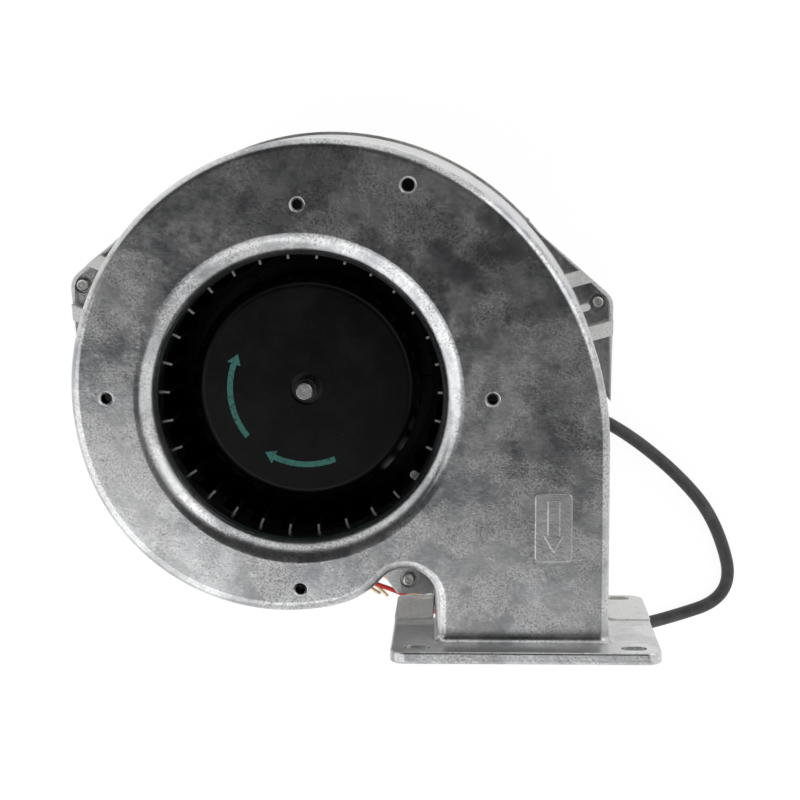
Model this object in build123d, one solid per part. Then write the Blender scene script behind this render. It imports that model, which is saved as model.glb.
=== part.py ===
from build123d import *
import math
import os

os.makedirs("parts", exist_ok=True)

# Levels along the fan axis, up from the face the motor rests on
REAR_COVER_THICKNESS = 2.4
DISH_FLOOR_THICKNESS = 2.0
MOTOR_PLATE_THICKNESS = 4.0
BACKPLATE_REAR_Z = 14.0
BACKPLATE_THICKNESS = 4.0
FACE_Z = 85.0
FLANGE_FRONT_Z = 98.0
FLANGE_SEAM_Z = 51.8
IMPELLER_REAR_Z = 19.5
IMPELLER_FRONT_Z = 66.2
ROTOR_FACE_Z = 54.0
SHAFT_TIP_Z = 63.5

# Clearances
BOLT_CLEARANCE = 0.15
SEAT_CLEARANCE = 0.30
PRESS_CLEARANCE = 0.02
AIR_GAP = 0.60

# Scroll casing: tangent arcs, each handed over to the next at a wall direction in degrees
SCROLL_CENTRE_X = -4.4
SCROLL_CENTRE_Y = -0.7
SCROLL_RADII = (71.2, 82.8, 93.3, 105.9)
SCROLL_TURNS = (284.0, 200.0, 90.0, 45.0, 0.0)
POCKET_CENTRE = (35.3, -68.2)
POCKET_RADIUS = 10.9
CASING_WALL = 3.0
CASING_DRAFT_DEG = 1.75
FACE_EDGE_RADIUS = 3.0
BACKPLATE_RIM = 1.0

# Inlet mouth
THROAT_RADIUS = 47.8
BELL_RADIUS = 7.5
THROAT_WALL = 2.5
THROAT_LIP_Z = 67.7
INLET_BOLT_RADIUS = 64.5
INLET_BOLT_COUNT = 4
INLET_TAP_RADIUS = 1.65
INLET_TAP_MOUTH_RADIUS = 2.5
INLET_BOSS_RADIUS = 4.2
INLET_BOSS_DEPTH = 8.0
PRESSURE_TAP_AT = (36.5, 70.8)
PRESSURE_TAP_RADIUS = 2.1
PRESSURE_TAP_MOUTH_RADIUS = 2.75
PRESSURE_TAP_BOSS_RADIUS = 5.0

# Outlet flange
FLANGE_LEFT_OVERHANG = 15.7
FLANGE_RIGHT_OVERHANG = 17.0
FLANGE_OUTLET_Y = -86.4
FLANGE_THICKNESS = 4.2
FLANGE_FRONT_CORNER = 5.0
FLANGE_REAR_CORNER = 6.0
FLANGE_FRONT_EDGE = 0.8
PAD_RISE = 0.5
PAD_CORNER = 4.0
FOOT_FILLET = 2.2
SLOT_HALF_WIDTH = 2.75
SLOT_LENGTH = 8.6
SLOT_SPACING_X = 72.0
SLOT_SPACING_Z = 72.8
SLOT_FRONT_INSET = 6.3

# Air direction plate on the face
ARROW_PLATE_WIDTH = 12.2
ARROW_PLATE_HEIGHT = 23.0
ARROW_PLATE_AT = (84.9, -43.0)
ARROW_PLATE_RISE = 0.6
ARROW_RISE = 0.5
ARROW_SHAFT_WIDTH = 3.9
ARROW_HEAD_WIDTH = 6.4
ARROW_SHAFT_TOP = 9.2
ARROW_HEAD_TOP = -2.5
ARROW_TIP = -8.2

# Screw ears
EAR_ROOT_SHARE = 0.8
EAR_THICKNESS = 4.0
EAR_LIP_WIDTH = 1.3
EAR_LIP_RISE = 2.5
EAR_RIB_RISE = 5.0
EAR_RIB_WIDTH = 5.2
EAR_RIB_SPACING = 20.4
RIGHT_EAR_CENTRE = (101.6, 26.4)
RIGHT_EAR_RADIUS = 6.8
RIGHT_EAR_TOP = (77.5, 56.6)
RIGHT_EAR_BOTTOM = ((107.8, -8.0),)
RIGHT_SCREW_AT = (102.95, 28.1)
LEFT_EAR_CENTRE = (-80.5, 33.1)
LEFT_EAR_RADIUS = 7.0
LEFT_EAR_TOP = (-59.4, 60.0)
LEFT_EAR_BOTTOM = ((-85.9, 13.5), (-78.6, -8.0))
LEFT_SCREW_AT = (-83.6, 34.2)
BOTTOM_SCREW_AT = (34.5, -74.35)
BOTTOM_EAR_UPPER = (22.5, -69.0)
BOTTOM_EAR_LEFT_X = 30.4
BOTTOM_EAR_GAP = 2.0
SEAM_BOSS_AT = (98.7, 26.4)
SEAM_BOSS_RADIUS = 1.3
SEAM_BOSS_HEIGHT = 10.0
RIM_NUB_AT = (77.2, 57.0)
RIM_NUB_RADIUS = 1.2
RIM_NUB_RISE = 1.5

# Screws
M4_RADIUS = 2.0
M4_HEAD_RADIUS = 3.6
M4_HEAD_HEIGHT = 2.6
M4_RECESS_RADIUS = 1.3
M4_RECESS_DEPTH = 1.5
EAR_RING_RADIUS = 3.1
EAR_RING_DEPTH = 1.2
EAR_SCREW_TIP_RISE = 3.2
M25_RADIUS = 1.25
M25_HEAD_RADIUS = 2.3
M25_LENGTH = 5.2

# Motor mounting flange and its electronics recess
MOTOR_PLATE_RADIUS = 46.0
MOTOR_SCREW_CIRCLE = 41.0
MOTOR_SCREW_TURNS = (60.0, 180.0, 300.0)
DISH_RADIUS = 32.0
DISH_WALL = 2.5
DISH_FRONT_Z = 18.0
TUBE_RADIUS = 12.0
TUBE_FRONT_Z = 47.0
TUBE_MID_BORE_RADIUS = 8.2
COVER_MARGIN = 0.6
COVER_SCREW_INSET = 5.4
COVER_SCREW_TURNS = (90.0, 210.0, 330.0)
COVER_BOSS_OUTER_RADIUS = 9.0
COVER_BOSS_INNER_RADIUS = 7.0
COVER_BOSS_HEIGHT = 2.1

# Bearings, one size used twice
BEARING_OUTER_RADIUS = 9.5
BEARING_WIDTH = 6.0
BEARING_REAR_Z = 6.0
BEARING_FRONT_Z = 39.0
OUTER_RING_WALL = 1.5
INNER_RING_WALL = 1.55
BALL_RADIUS = 1.5
BALL_COUNT = 7
CAGE_WALL = 1.3
CAGE_WIDTH = 4.2
CAGE_POCKET_GAP = 0.08
SPRING_THICKNESS = 0.4
SPRING_LUG_TURNS = (30.0, 150.0, 270.0)

# Shaft and rotor
SHAFT_RADIUS = 3.0
SHAFT_REAR_Z = 4.8
SHAFT_CHAMFER = 0.4
CLIP_RADIUS = 4.6
CLIP_THICKNESS = 0.7
CLIP_MOUTH_SHARE = 0.7
ROTOR_RADIUS = 39.8
ROTOR_WALL = 2.0
ROTOR_EDGE_RADIUS = 4.5
ROTOR_HOLE_RADIUS = 5.7
ROTOR_LIP_RADIUS = 43.6
ROTOR_LIP_THICKNESS = 1.5
BUSH_COLLAR_RADIUS = 3.85
BUSH_COLLAR_Z = 57.0
BUSH_FLANGE_RADIUS = 8.0
BUSH_NECK_RADIUS = 4.4
MAGNET_THICKNESS = 4.0
MAGNET_REAR_Z = 25.0
MAGNET_FRONT_Z = 47.0
MAGNET_COUNT = 6
MAGNET_GAP_DEG = 2.0

# Stator
TOOTH_COUNT = 9
TOOTH_WIDTH = 5.0
STACK_REAR_Z = 28.0
STACK_FRONT_Z = 44.0
STACK_HUB_RADIUS = 17.0
SHOE_THICKNESS = 2.2
SHOE_ARC_DEG = 33.0
INSULATOR_THICKNESS = 1.2
COIL_INNER_RADIUS = 19.0
COIL_OUTER_RADIUS = 30.0
COIL_THICKNESS = 2.1
COIL_CORNER_SHARE = 0.8

# Circuit board
BOARD_MARGIN = 0.9
BOARD_HOLE_RADIUS = 13.0
BOARD_REAR_Z = 14.4
BOARD_THICKNESS = 1.6
POST_RADIUS = 2.2
POST_INSET = 3.1
POST_TURNS = (30.0, 150.0, 270.0)
CAPACITOR_RADIUS = 4.0
CAPACITOR_HEIGHT = 8.0
CAPACITOR_AT = (-20.5, 0.0)
TRANSISTOR_SIZE = (6.5, 6.0, 2.3)
TRANSISTOR_CIRCLE = 20.5
TRANSISTOR_TURNS = (60.0, 90.0, 120.0, 240.0, 210.0, 300.0)
HALL_SIZE = (4.0, 3.0, 1.4)
HALL_INSET = 2.6
HALL_TURNS = (0.0, 40.0, 80.0)

# Impeller
BLADE_COUNT = 30
BLADE_INNER_RADIUS = 46.0
BLADE_OUTER_RADIUS = 54.0
BLADE_THICKNESS = 0.8
BLADE_LEAN_DEG = 5.5
BLADE_BOW = 1.6
RIM_MARGIN = 0.6
DISC_THICKNESS = 1.5
DISC_HOLE_RADIUS = 36.5
RING_WIDTH = 5.2
RING_THICKNESS = 1.0
RIVET_COUNT = 6
RIVET_CIRCLE = 41.7
RIVET_RADIUS = 1.1
RIVET_HEAD_RADIUS = 1.7
RIVET_HEAD_HEIGHT = 0.8
CLIP_WEIGHT_RADIUS = 1.4
CLIP_WEIGHT_GAP = 0.8
CLIP_WEIGHT_BLADE = 27
CLIP_WEIGHT_DEPTH = 2.5
CLIP_WEIGHT_CAP = 0.8

# Cable and leads
CABLE_RADIUS = 2.4
CABLE_EXIT_Z = 7.0
CABLE_TABLE_Z = 2.45
LEAD_RADIUS = 0.9
LEAD_SPREAD = 0.95
LEAD_LOW_Z = 1.0
LEAD_HIGH_Z = 3.4
LEAD_STEP = 7.0
FERRULE_RADIUS = 0.7
FERRULE_LENGTH = 5.6
GROMMET_WIDTH = 8.4
GROMMET_LENGTH = 8.0
GROMMET_HEIGHT = 5.6
GROMMET_NECK_RADIUS = 2.9
GROMMET_NECK_REACH = 1.5
GROMMET_EDGE_RADIUS = 1.0
GROMMET_NOSE_LENGTH = 12.0
GROMMET_NOSE_RADIUS = 2.75
GROMMET_NOSE_WALL = 0.15
CABLE_EXIT_Y = -4.0
CORD_BEND_SHARE = 0.45

# Values that follow from the ones above
BACKPLATE_FRONT_Z = BACKPLATE_REAR_Z + BACKPLATE_THICKNESS
BASE_GROW = (FACE_Z - BACKPLATE_FRONT_Z) * math.tan(math.radians(CASING_DRAFT_DEG))
FACE_INNER_Z = FACE_Z - CASING_WALL
FLANGE_TOP_Y = FLANGE_OUTLET_Y + FLANGE_THICKNESS
SLOT_FRONT_Z = FLANGE_FRONT_Z - SLOT_FRONT_INSET
SLOT_REAR_Z = SLOT_FRONT_Z - SLOT_SPACING_Z
EAR_TOP_Z = BACKPLATE_FRONT_Z + EAR_THICKNESS
MOTOR_PLATE_REAR_Z = BACKPLATE_REAR_Z - MOTOR_PLATE_THICKNESS
DISH_FLOOR_Z = REAR_COVER_THICKNESS + DISH_FLOOR_THICKNESS
RING_REAR_Z = IMPELLER_FRONT_Z - RING_THICKNESS
DISC_FRONT_Z = IMPELLER_REAR_Z + DISC_THICKNESS
BALL_CIRCLE = (BEARING_OUTER_RADIUS - OUTER_RING_WALL + SHAFT_RADIUS + INNER_RING_WALL) / 2
STATOR_RADIUS = ROTOR_RADIUS - ROTOR_WALL - MAGNET_THICKNESS - AIR_GAP
COVER_RADIUS = DISH_RADIUS - COVER_MARGIN
COVER_SCREW_CIRCLE = COVER_RADIUS - COVER_SCREW_INSET
BOARD_RADIUS = DISH_RADIUS - DISH_WALL - BOARD_MARGIN
POST_CIRCLE = BOARD_RADIUS - POST_INSET
HALL_CIRCLE = BOARD_RADIUS - HALL_INSET
IMPELLER_RIM_RADIUS = BLADE_OUTER_RADIUS + RIM_MARGIN
RING_INNER_RADIUS = IMPELLER_RIM_RADIUS - RING_WIDTH
CLIP_WEIGHT_CIRCLE = RING_INNER_RADIUS - CLIP_WEIGHT_RADIUS - CLIP_WEIGHT_GAP
SCROLL_FIRST_CENTRE = (SCROLL_CENTRE_X, SCROLL_CENTRE_Y)


def polar(radius, turn_deg, centre=(0.0, 0.0)):
    turn = math.radians(turn_deg)
    return (centre[0] + radius * math.cos(turn), centre[1] + radius * math.sin(turn))


def disc(radius, bottom, top, at=(0.0, 0.0)):
    return Pos(at[0], at[1], bottom) * Cylinder(
        radius, top - bottom, align=(Align.CENTER, Align.CENTER, Align.MIN)
    )


def tube(outer, inner, bottom, top, at=(0.0, 0.0)):
    return disc(outer, bottom, top, at) - disc(inner, bottom - 1, top + 1, at)


def block(x_from, x_to, y_from, y_to, z_from, z_to):
    middle = Pos((x_from + x_to) / 2, (y_from + y_to) / 2, (z_from + z_to) / 2)
    return middle * Box(x_to - x_from, y_to - y_from, z_to - z_from)


def slab(outline, bottom, top):
    return extrude(Pos(0, 0, bottom) * outline, amount=top - bottom)


def arc_between(centre, radius, from_deg, to_deg):
    middle = polar(radius, (from_deg + to_deg) / 2, centre)
    return ThreePointArc(polar(radius, from_deg, centre), middle, polar(radius, to_deg, centre))


def scroll_arcs():
    arcs = []
    centre = SCROLL_FIRST_CENTRE
    for step, radius in enumerate(SCROLL_RADII):
        if step > 0:
            last = SCROLL_RADII[step - 1]
            centre = polar(last - radius, SCROLL_TURNS[step], centre)
        arcs.append((centre, radius, SCROLL_TURNS[step], SCROLL_TURNS[step + 1]))
    return arcs


def tongue_arc():
    turn = SCROLL_TURNS[0]
    start = polar(SCROLL_RADII[0], turn, SCROLL_FIRST_CENTRE)
    away = (start[0] - POCKET_CENTRE[0], start[1] - POCKET_CENTRE[1])
    along = away[0] * math.cos(math.radians(turn)) + away[1] * math.sin(math.radians(turn))
    square = away[0] ** 2 + away[1] ** 2 - POCKET_RADIUS**2
    radius = square / (2 * (along + POCKET_RADIUS))
    centre = polar(-radius, turn, start)
    meet = math.degrees(math.atan2(POCKET_CENTRE[1] - centre[1], POCKET_CENTRE[0] - centre[0]))
    return centre, radius, meet


RIGHT_WALL_X = polar(SCROLL_RADII[-1], 0, scroll_arcs()[-1][0])[0]
LEFT_WALL_X = POCKET_CENTRE[0] + POCKET_RADIUS
FLANGE_LEFT_X = LEFT_WALL_X - FLANGE_LEFT_OVERHANG
FLANGE_RIGHT_X = RIGHT_WALL_X + FLANGE_RIGHT_OVERHANG
FLANGE_WIDTH = FLANGE_RIGHT_X - FLANGE_LEFT_X
FLANGE_MIDDLE_X = (FLANGE_LEFT_X + FLANGE_RIGHT_X) / 2


def casing_outline(grow, end_y):
    arcs = scroll_arcs()
    last_centre = arcs[-1][0]
    right_x = RIGHT_WALL_X + grow
    left_x = LEFT_WALL_X - grow
    edges = [Line((right_x, end_y), (right_x, last_centre[1]))]
    for centre, radius, turn_from, turn_to in reversed(arcs):
        edges.append(arc_between(centre, radius + grow, turn_to, turn_from))
    centre, radius, meet = tongue_arc()
    edges.append(arc_between(centre, radius + grow, SCROLL_TURNS[0] - 360, meet))
    edges.append(arc_between(POCKET_CENTRE, POCKET_RADIUS - grow, meet + 180, 0.0))
    edges.append(Line((left_x, POCKET_CENTRE[1]), (left_x, end_y)))
    edges.append(Line((left_x, end_y), (right_x, end_y)))
    return make_face(edges)


def tangent_point(point, centre, radius, side):
    reach = math.hypot(point[0] - centre[0], point[1] - centre[1])
    heading = math.degrees(math.atan2(point[1] - centre[1], point[0] - centre[0]))
    return polar(radius, heading + side * math.degrees(math.acos(radius / reach)), centre)


def side_ear(centre, radius, top, bottom, side, inset=0.0):
    reach = radius - inset
    upper = tangent_point(top, centre, reach, -side)
    lower = tangent_point(bottom[0], centre, reach, side)
    inner = (centre[0] * EAR_ROOT_SHARE, centre[1] * EAR_ROOT_SHARE)
    web = make_face(Polyline(top, upper, centre, lower, *bottom, inner, close=True))
    return web + Pos(centre[0], centre[1]) * Circle(reach)


def right_ear(inset=0.0):
    return side_ear(
        RIGHT_EAR_CENTRE, RIGHT_EAR_RADIUS, RIGHT_EAR_TOP, RIGHT_EAR_BOTTOM, 1, inset
    )


def left_ear(inset=0.0):
    return side_ear(LEFT_EAR_CENTRE, LEFT_EAR_RADIUS, LEFT_EAR_TOP, LEFT_EAR_BOTTOM, -1, inset)


def bottom_ear():
    floor_y = FLANGE_TOP_Y + PAD_RISE + BOTTOM_EAR_GAP
    inner_top = (POCKET_CENTRE[0] - POCKET_RADIUS, POCKET_CENTRE[1] + POCKET_RADIUS + CASING_WALL)
    inner_right = (LEFT_WALL_X, POCKET_CENTRE[1] + POCKET_RADIUS + CASING_WALL)
    left_foot = (BOTTOM_EAR_LEFT_X, floor_y)
    right_foot = (LEFT_WALL_X, floor_y)
    outline = Polyline(inner_top, BOTTOM_EAR_UPPER, left_foot, right_foot, inner_right, close=True)
    return make_face(outline)


def ear_screw_places():
    return (RIGHT_SCREW_AT, LEFT_SCREW_AT, BOTTOM_SCREW_AT)


def ear_ribs(screw_at, outline):
    heading = math.degrees(math.atan2(screw_at[1], screw_at[0]))
    reach = math.hypot(*screw_at)
    ribs = []
    for side in (-1, 1):
        middle = side * EAR_RIB_SPACING / 2
        bar = block(
            reach * 3 / 4,
            reach * 5 / 4,
            middle - EAR_RIB_WIDTH / 2,
            middle + EAR_RIB_WIDTH / 2,
            BACKPLATE_FRONT_Z,
            EAR_TOP_Z + EAR_RIB_RISE,
        )
        ribs.append(Rot(0, 0, heading) * bar)
    allowed = slab(outline, BACKPLATE_FRONT_Z, EAR_TOP_Z + EAR_RIB_RISE)
    return (ribs[0] + ribs[1]) & allowed


def raised_ear(full, inset, screw_at):
    floor = slab(full, BACKPLATE_FRONT_Z, EAR_TOP_Z)
    lip_top = EAR_TOP_Z + EAR_LIP_RISE
    lip = slab(full, BACKPLATE_FRONT_Z, lip_top) - slab(inset, EAR_TOP_Z, lip_top + 1)
    return floor + lip + ear_ribs(screw_at, full)


def inlet_profile(offset):
    start_r = THROAT_RADIUS + offset
    bend_z = FACE_Z - BELL_RADIUS
    centre = (THROAT_RADIUS + BELL_RADIUS, bend_z)
    reach = BELL_RADIUS - offset
    bend = arc_between(centre, reach, 180, 90)
    top = (centre[0], bend_z + reach)
    return start_r, bend_z, bend, top


def inlet_void():
    start_r, bend_z, bend, top = inlet_profile(0.0)
    low = THROAT_LIP_Z - 1
    high = FACE_Z + 1
    edges = [
        Line((0, low), (start_r, low)),
        Line((start_r, low), (start_r, bend_z)),
        bend,
        Line(top, (top[0], high)),
        Line((top[0], high), (0, high)),
        Line((0, high), (0, low)),
    ]
    return revolve(Plane.XZ * make_face(edges), Axis.Z)


def inlet_neck():
    start_r, bend_z, bend, top = inlet_profile(THROAT_WALL)
    edges = [
        Line((THROAT_RADIUS - 1, THROAT_LIP_Z), (start_r, THROAT_LIP_Z)),
        Line((start_r, THROAT_LIP_Z), (start_r, bend_z)),
        bend,
        Line(top, (top[0], FACE_Z)),
        Line((top[0], FACE_Z), (THROAT_RADIUS - 1, FACE_Z)),
        Line((THROAT_RADIUS - 1, FACE_Z), (THROAT_RADIUS - 1, THROAT_LIP_Z)),
    ]
    return revolve(Plane.XZ * make_face(edges), Axis.Z)


def flange_slot(x, z):
    straight = SLOT_LENGTH - 2 * SLOT_HALF_WIDTH
    outline = Pos(x, z) * SlotCenterToCenter(straight, 2 * SLOT_HALF_WIDTH)
    sheet = Plane.XZ * outline
    beyond = FLANGE_THICKNESS / 2
    return Pos(0, FLANGE_TOP_Y + beyond, 0) * extrude(sheet, amount=FLANGE_THICKNESS + 2 * beyond)


def slot_row(z):
    half = SLOT_SPACING_X / 2
    return flange_slot(FLANGE_MIDDLE_X - half, z) + flange_slot(FLANGE_MIDDLE_X + half, z)


def countersunk_bore(at, radius, mouth_radius, bottom):
    mouth = mouth_radius - radius
    bore = disc(radius, bottom - 1, FACE_Z + 1, at)
    cone = Pos(at[0], at[1], FACE_Z - mouth / 2) * Cone(radius, mouth_radius, mouth)
    return bore + cone


def arrow_plate():
    plate = RectangleRounded(ARROW_PLATE_WIDTH, ARROW_PLATE_HEIGHT, ARROW_PLATE_WIDTH / 8)
    body = extrude(plate, amount=ARROW_PLATE_RISE)
    half = ARROW_SHAFT_WIDTH / 2
    head = ARROW_HEAD_WIDTH / 2
    arrow = Polyline(
        (-half, ARROW_SHAFT_TOP),
        (half, ARROW_SHAFT_TOP),
        (half, ARROW_HEAD_TOP),
        (head, ARROW_HEAD_TOP),
        (0, ARROW_TIP),
        (-head, ARROW_HEAD_TOP),
        (-half, ARROW_HEAD_TOP),
        close=True,
    )
    mark = extrude(make_face(arrow), amount=ARROW_PLATE_RISE + ARROW_RISE)
    return Pos(ARROW_PLATE_AT[0], ARROW_PLATE_AT[1], FACE_Z) * (body + mark)


def duct_trim():
    reach = 4 * FLANGE_WIDTH
    return block(-reach, reach, FLANGE_OUTLET_Y - reach, FLANGE_OUTLET_Y, -1, 2 * FLANGE_FRONT_Z)


def casing_shell():
    beyond = FLANGE_OUTLET_Y - 12
    rise = FACE_Z - BACKPLATE_FRONT_Z
    at_base = Pos(0, 0, BACKPLATE_FRONT_Z)
    outer = extrude(at_base * casing_outline(BASE_GROW, beyond), amount=rise, taper=CASING_DRAFT_DEG)
    rim = outer.faces().sort_by(Axis.Z)[-1].edges()
    outer = fillet(rim, FACE_EDGE_RADIUS)
    return outer


def casing_cavity():
    beyond = FLANGE_OUTLET_Y - 30
    rise = FACE_INNER_Z - BACKPLATE_FRONT_Z
    outline = casing_outline(BASE_GROW - CASING_WALL, beyond)
    at_base = Pos(0, 0, BACKPLATE_FRONT_Z)
    return extrude(at_base * outline, amount=rise, taper=CASING_DRAFT_DEG)


def front_flange():
    plate = block(
        FLANGE_LEFT_X, FLANGE_RIGHT_X, FLANGE_OUTLET_Y, FLANGE_TOP_Y, FLANGE_SEAM_Z, FLANGE_FRONT_Z
    )
    corners = plate.edges().filter_by(Axis.Y).sort_by(Axis.Z)[-2:]
    plate = fillet(corners, FLANGE_FRONT_CORNER)
    front_edges = plate.faces().sort_by(Axis.Z)[-1].edges().filter_by(Axis.X)
    return fillet(front_edges, FLANGE_FRONT_EDGE)


def seam_boss():
    top = BACKPLATE_FRONT_Z + SEAM_BOSS_HEIGHT
    boss = disc(SEAM_BOSS_RADIUS, BACKPLATE_FRONT_Z, top, SEAM_BOSS_AT)
    heading = math.degrees(math.atan2(SEAM_BOSS_AT[1], SEAM_BOSS_AT[0]))
    reach = 2 * SEAM_BOSS_RADIUS
    web = block(-reach, 0, -SEAM_BOSS_RADIUS, SEAM_BOSS_RADIUS, BACKPLATE_FRONT_Z, top)
    return boss + Pos(SEAM_BOSS_AT[0], SEAM_BOSS_AT[1], 0) * Rot(0, 0, heading) * web


def front_housing():
    shell = casing_shell() - duct_trim()
    body = shell + front_flange()
    foot = [
        edge
        for edge in body.edges().filter_by_position(Axis.Y, FLANGE_TOP_Y - 0.01, FLANGE_TOP_Y + 0.01)
        if edge.bounding_box().max.Z < FLANGE_FRONT_Z - FLANGE_FRONT_CORNER
        and edge.bounding_box().max.Z > FLANGE_SEAM_Z + 1
        and edge.bounding_box().min.X > FLANGE_LEFT_X + 2
        and edge.bounding_box().max.X < FLANGE_RIGHT_X - 2
    ]
    body = fillet(foot, FOOT_FILLET)
    body += raised_ear(right_ear(), right_ear(EAR_LIP_WIDTH), RIGHT_SCREW_AT)
    body += raised_ear(left_ear(), left_ear(EAR_LIP_WIDTH), LEFT_SCREW_AT)
    body += slab(bottom_ear(), BACKPLATE_FRONT_Z, EAR_TOP_Z)
    body += seam_boss()
    body += arrow_plate()
    body -= casing_cavity()
    boss_low = FACE_Z - INLET_BOSS_DEPTH
    bolt_places = [polar(INLET_BOLT_RADIUS, 360 * n / INLET_BOLT_COUNT) for n in range(INLET_BOLT_COUNT)]
    for at in bolt_places:
        body += disc(INLET_BOSS_RADIUS, boss_low, FACE_Z, at)
    body += disc(PRESSURE_TAP_BOSS_RADIUS, boss_low, FACE_Z, PRESSURE_TAP_AT)
    body += inlet_neck()
    body -= inlet_void()
    for at in bolt_places:
        body -= countersunk_bore(at, INLET_TAP_RADIUS, INLET_TAP_MOUTH_RADIUS, boss_low)
    body -= countersunk_bore(
        PRESSURE_TAP_AT, PRESSURE_TAP_RADIUS, PRESSURE_TAP_MOUTH_RADIUS, boss_low
    )
    body -= slot_row(SLOT_FRONT_Z)
    for at in ear_screw_places():
        body -= disc(M4_RADIUS + BOLT_CLEARANCE, BACKPLATE_REAR_Z, EAR_TOP_Z + 1, at)
        body -= disc(EAR_RING_RADIUS, EAR_TOP_Z - EAR_RING_DEPTH, EAR_TOP_Z + 1, at)
    return body


def flange_pad(x_from, x_to, corner_x):
    top = FLANGE_TOP_Y + PAD_RISE
    pad = block(x_from, x_to, FLANGE_OUTLET_Y, top, BACKPLATE_REAR_Z, FLANGE_SEAM_Z - BOLT_CLEARANCE)
    upright = pad.edges().filter_by(Axis.Y)
    inner = [
        e for e in upright if abs(e.center().X - corner_x) < 1 and e.center().Z > BACKPLATE_FRONT_Z
    ]
    room = x_to - x_from
    pad = fillet(inner, min(PAD_CORNER, room / 4))
    edge = [
        e
        for e in pad.edges().filter_by(Axis.Y)
        if abs(e.center().X - corner_x) > 1 and e.center().Z < BACKPLATE_FRONT_Z
    ]
    return fillet(edge, min(FLANGE_REAR_CORNER, room / 2))


def rear_housing():
    rim = BASE_GROW + BACKPLATE_RIM
    sheet = casing_outline(rim, FLANGE_OUTLET_Y) + right_ear() + left_ear() + bottom_ear()
    body = slab(sheet, BACKPLATE_REAR_Z, BACKPLATE_FRONT_Z)
    body += disc(RIM_NUB_RADIUS, BACKPLATE_REAR_Z, BACKPLATE_FRONT_Z + RIM_NUB_RISE, RIM_NUB_AT)
    left_inner = LEFT_WALL_X - BASE_GROW - SEAT_CLEARANCE
    right_inner = RIGHT_WALL_X + BASE_GROW + SEAT_CLEARANCE
    body += flange_pad(FLANGE_LEFT_X, left_inner, left_inner)
    body += flange_pad(right_inner, FLANGE_RIGHT_X, right_inner)
    body -= slot_row(SLOT_REAR_Z)
    body -= disc(DISH_RADIUS + SEAT_CLEARANCE, BACKPLATE_REAR_Z - 1, BACKPLATE_FRONT_Z + 1)
    for at in ear_screw_places():
        body -= disc(M4_RADIUS + BOLT_CLEARANCE, BACKPLATE_REAR_Z - 1, BACKPLATE_FRONT_Z + 1, at)
    for turn in MOTOR_SCREW_TURNS:
        at = polar(MOTOR_SCREW_CIRCLE, turn)
        body -= disc(M4_RADIUS + BOLT_CLEARANCE, BACKPLATE_REAR_Z - 1, BACKPLATE_FRONT_Z + 1, at)
    return body


def pan_screw(at, seat_z, tip_z):
    head_low = seat_z - M4_HEAD_HEIGHT
    head = disc(M4_HEAD_RADIUS, head_low, seat_z, at)
    rim = head.edges().filter_by(GeomType.CIRCLE).sort_by(Axis.Z)[0]
    head = fillet(rim, M4_HEAD_HEIGHT / 3)
    head += disc(M4_RADIUS, seat_z - 1, tip_z, at)
    tip = head.edges().filter_by(GeomType.CIRCLE).sort_by(Axis.Z)[-1]
    head = chamfer(tip, SHAFT_CHAMFER)
    recess = Pos(at[0], at[1], head_low) * RegularPolygon(M4_RECESS_RADIUS, 6)
    return head - extrude(recess, amount=M4_RECESS_DEPTH)


def housing_screws():
    tip = EAR_TOP_Z + EAR_SCREW_TIP_RISE
    return Compound([pan_screw(at, BACKPLATE_REAR_Z, tip) for at in ear_screw_places()])


def motor_screws():
    places = [polar(MOTOR_SCREW_CIRCLE, turn) for turn in MOTOR_SCREW_TURNS]
    return Compound([pan_screw(at, MOTOR_PLATE_REAR_Z, BACKPLATE_FRONT_Z) for at in places])


def cover_screw(at):
    head_height = M25_HEAD_RADIUS - M25_RADIUS
    head = Pos(at[0], at[1], head_height / 2) * Cone(M25_HEAD_RADIUS, M25_RADIUS, head_height)
    return head + disc(M25_RADIUS, head_height / 2, M25_LENGTH, at)


def cover_screws():
    return Compound([cover_screw(polar(COVER_SCREW_CIRCLE, turn)) for turn in COVER_SCREW_TURNS])


def rear_cover():
    body = disc(COVER_RADIUS, 0, REAR_COVER_THICKNESS)
    low_rim = body.edges().filter_by(GeomType.CIRCLE).sort_by(Axis.Z)[0]
    body = fillet(low_rim, REAR_COVER_THICKNESS / 3)
    top = REAR_COVER_THICKNESS + COVER_BOSS_HEIGHT
    body += tube(COVER_BOSS_OUTER_RADIUS, COVER_BOSS_INNER_RADIUS, REAR_COVER_THICKNESS / 2, top)
    mouth = M25_HEAD_RADIUS - M25_RADIUS
    for turn in COVER_SCREW_TURNS:
        at = polar(COVER_SCREW_CIRCLE, turn)
        body -= disc(M25_RADIUS + BOLT_CLEARANCE, -1, top, at)
        cone = Cone(M25_HEAD_RADIUS + BOLT_CLEARANCE, M25_RADIUS + BOLT_CLEARANCE, mouth)
        body -= Pos(at[0], at[1], mouth / 2) * cone
    return body


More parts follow.
